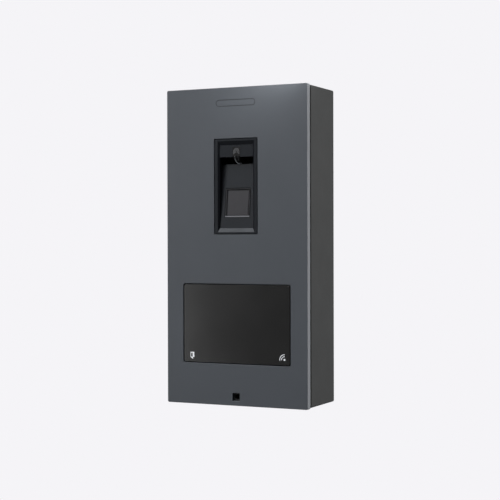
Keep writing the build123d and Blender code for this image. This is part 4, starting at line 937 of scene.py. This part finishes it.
def shield_fence():
    """Fence the shield's lid snaps over, with its small tabs, and the lid's pressed border."""
    form = bmesh.new()
    half_x, half_z = SHIELD_HALF
    fence_out, tab_out = BOARD - 0.45, BOARD - 1.3
    border_x, border_z = half_x - BORDER_INSET, half_z - BORDER_INSET
    for side in (-1, 1):
        wall_x, wall_z = side * (half_x + 0.12), SHIELD_MID_Z + side * (half_z + 0.12)
        block(form, (wall_x, fence_out, SHIELD_MID_Z), (0.2, 0.9, 2 * half_z + 0.4), 0.05)
        block(form, (0, fence_out, wall_z), (2 * half_x + 0.4, 0.9, 0.2), 0.05)
        tab_x, tab_z = side * (half_x + 0.1), SHIELD_MID_Z + side * (half_z + 0.1)
        for step in range(4):
            along = (step - 1.5) * 5
            block(form, (tab_x, tab_out, SHIELD_MID_Z + along), (0.2, 0.8, 1.4), 0.06)
            block(form, (along, tab_out, tab_z), (1.4, 0.8, 0.2), 0.06)
        block(form, (side * border_x, SHIELD_OUT, SHIELD_MID_Z), (0.5, 0.14, 2 * border_z), 0.06)
        block(form, (0, SHIELD_OUT, SHIELD_MID_Z + side * border_z), (2 * border_x, 0.14, 0.5), 0.06)
    piece("shield_fence", "front_unit", form, tinned_can)


RELAY_AT = (-17, 19)
RELAY_TOP = 7.38


def relay_details():
    """Foot rim, vent nub and raised panel of the relay's case."""
    form = bmesh.new()
    x, z = RELAY_AT
    block(form, (x, BOARD - 0.3, z), (15.4, 0.6, 10.9), 0.12)
    turned(form, (x - 6.2, z + 3.9), [(0.5, 7.5), (0.5, 7.3), (0.35, 7.2)], 20)
    block(form, (x, RELAY_TOP, z), (11.0, 0.08, 6.4), 0.03)
    piece("relay_rim", "front_unit", form, relay_case)


def main_details():
    guide_rim_highlight()
    chip_legs()
    chip_marks()
    small_parts()
    gold_lands()
    can_details()
    board_extras()
    shield_fence()
    relay_details()


# ---- detail pieces: the wall box --------------------------------------------------
# Out of the box's back wall, seen from inside
BOX_FLOOR = 2.6
RIB_X = 19
# Ribs along z, as middle and length, and the z of the ribs along x
LONG_RIBS = [(46, 34), (-50, 30)]
CROSS_RIBS = (36, 8, -36)
SADDLE_Z = (-45.2, -44.0, -42.8)
GROMMET_FACE = 3.8
GROMMET_Z = -14
RIDGE_RADII = (4.2, 6.2, 8.2)


def box_details():
    """Stiffening ribs on the box's back wall, a saddle for a cable tie, and the grommet's ridges."""
    ribs = bmesh.new()
    rib_out = BOX_FLOOR + 0.8
    for side in (-1, 1):
        for z, length in LONG_RIBS:
            block(ribs, (side * RIB_X, rib_out, z), (1.4, 1.8, length), 0.3)
    for z in CROSS_RIBS:
        block(ribs, (0, rib_out, z), (34, 1.8, 1.4), 0.3)
    piece("box_ribs", "wall_box", ribs, box_paint)
    saddle = bmesh.new()
    arch = arc_through((-5, BOX_FLOOR - 0.3), (0, BOX_FLOOR + 3.2), (5, BOX_FLOOR - 0.3), 15)
    for z in SADDLE_Z:
        tube(saddle, [(x, out, z) for x, out in arch], [0.75] * len(arch))
    piece("tie_saddle", "wall_box", saddle, box_paint, smooth=True)
    ridges = bmesh.new()
    turns = [2 * math.pi * step / 48 for step in range(49)]
    for radius in RIDGE_RADII:
        spots = [(radius * math.cos(turn), GROMMET_Z + radius * math.sin(turn)) for turn in turns]
        tube(ridges, [(x, GROMMET_FACE, z) for x, z in spots], [0.3] * len(spots), 8)
    piece("grommet_ridges", "wall_box", ridges, grommet_rubber, smooth=True)


place_camera()
studio()
pale_floor()
dress_nodes()
main_details()
box_details()
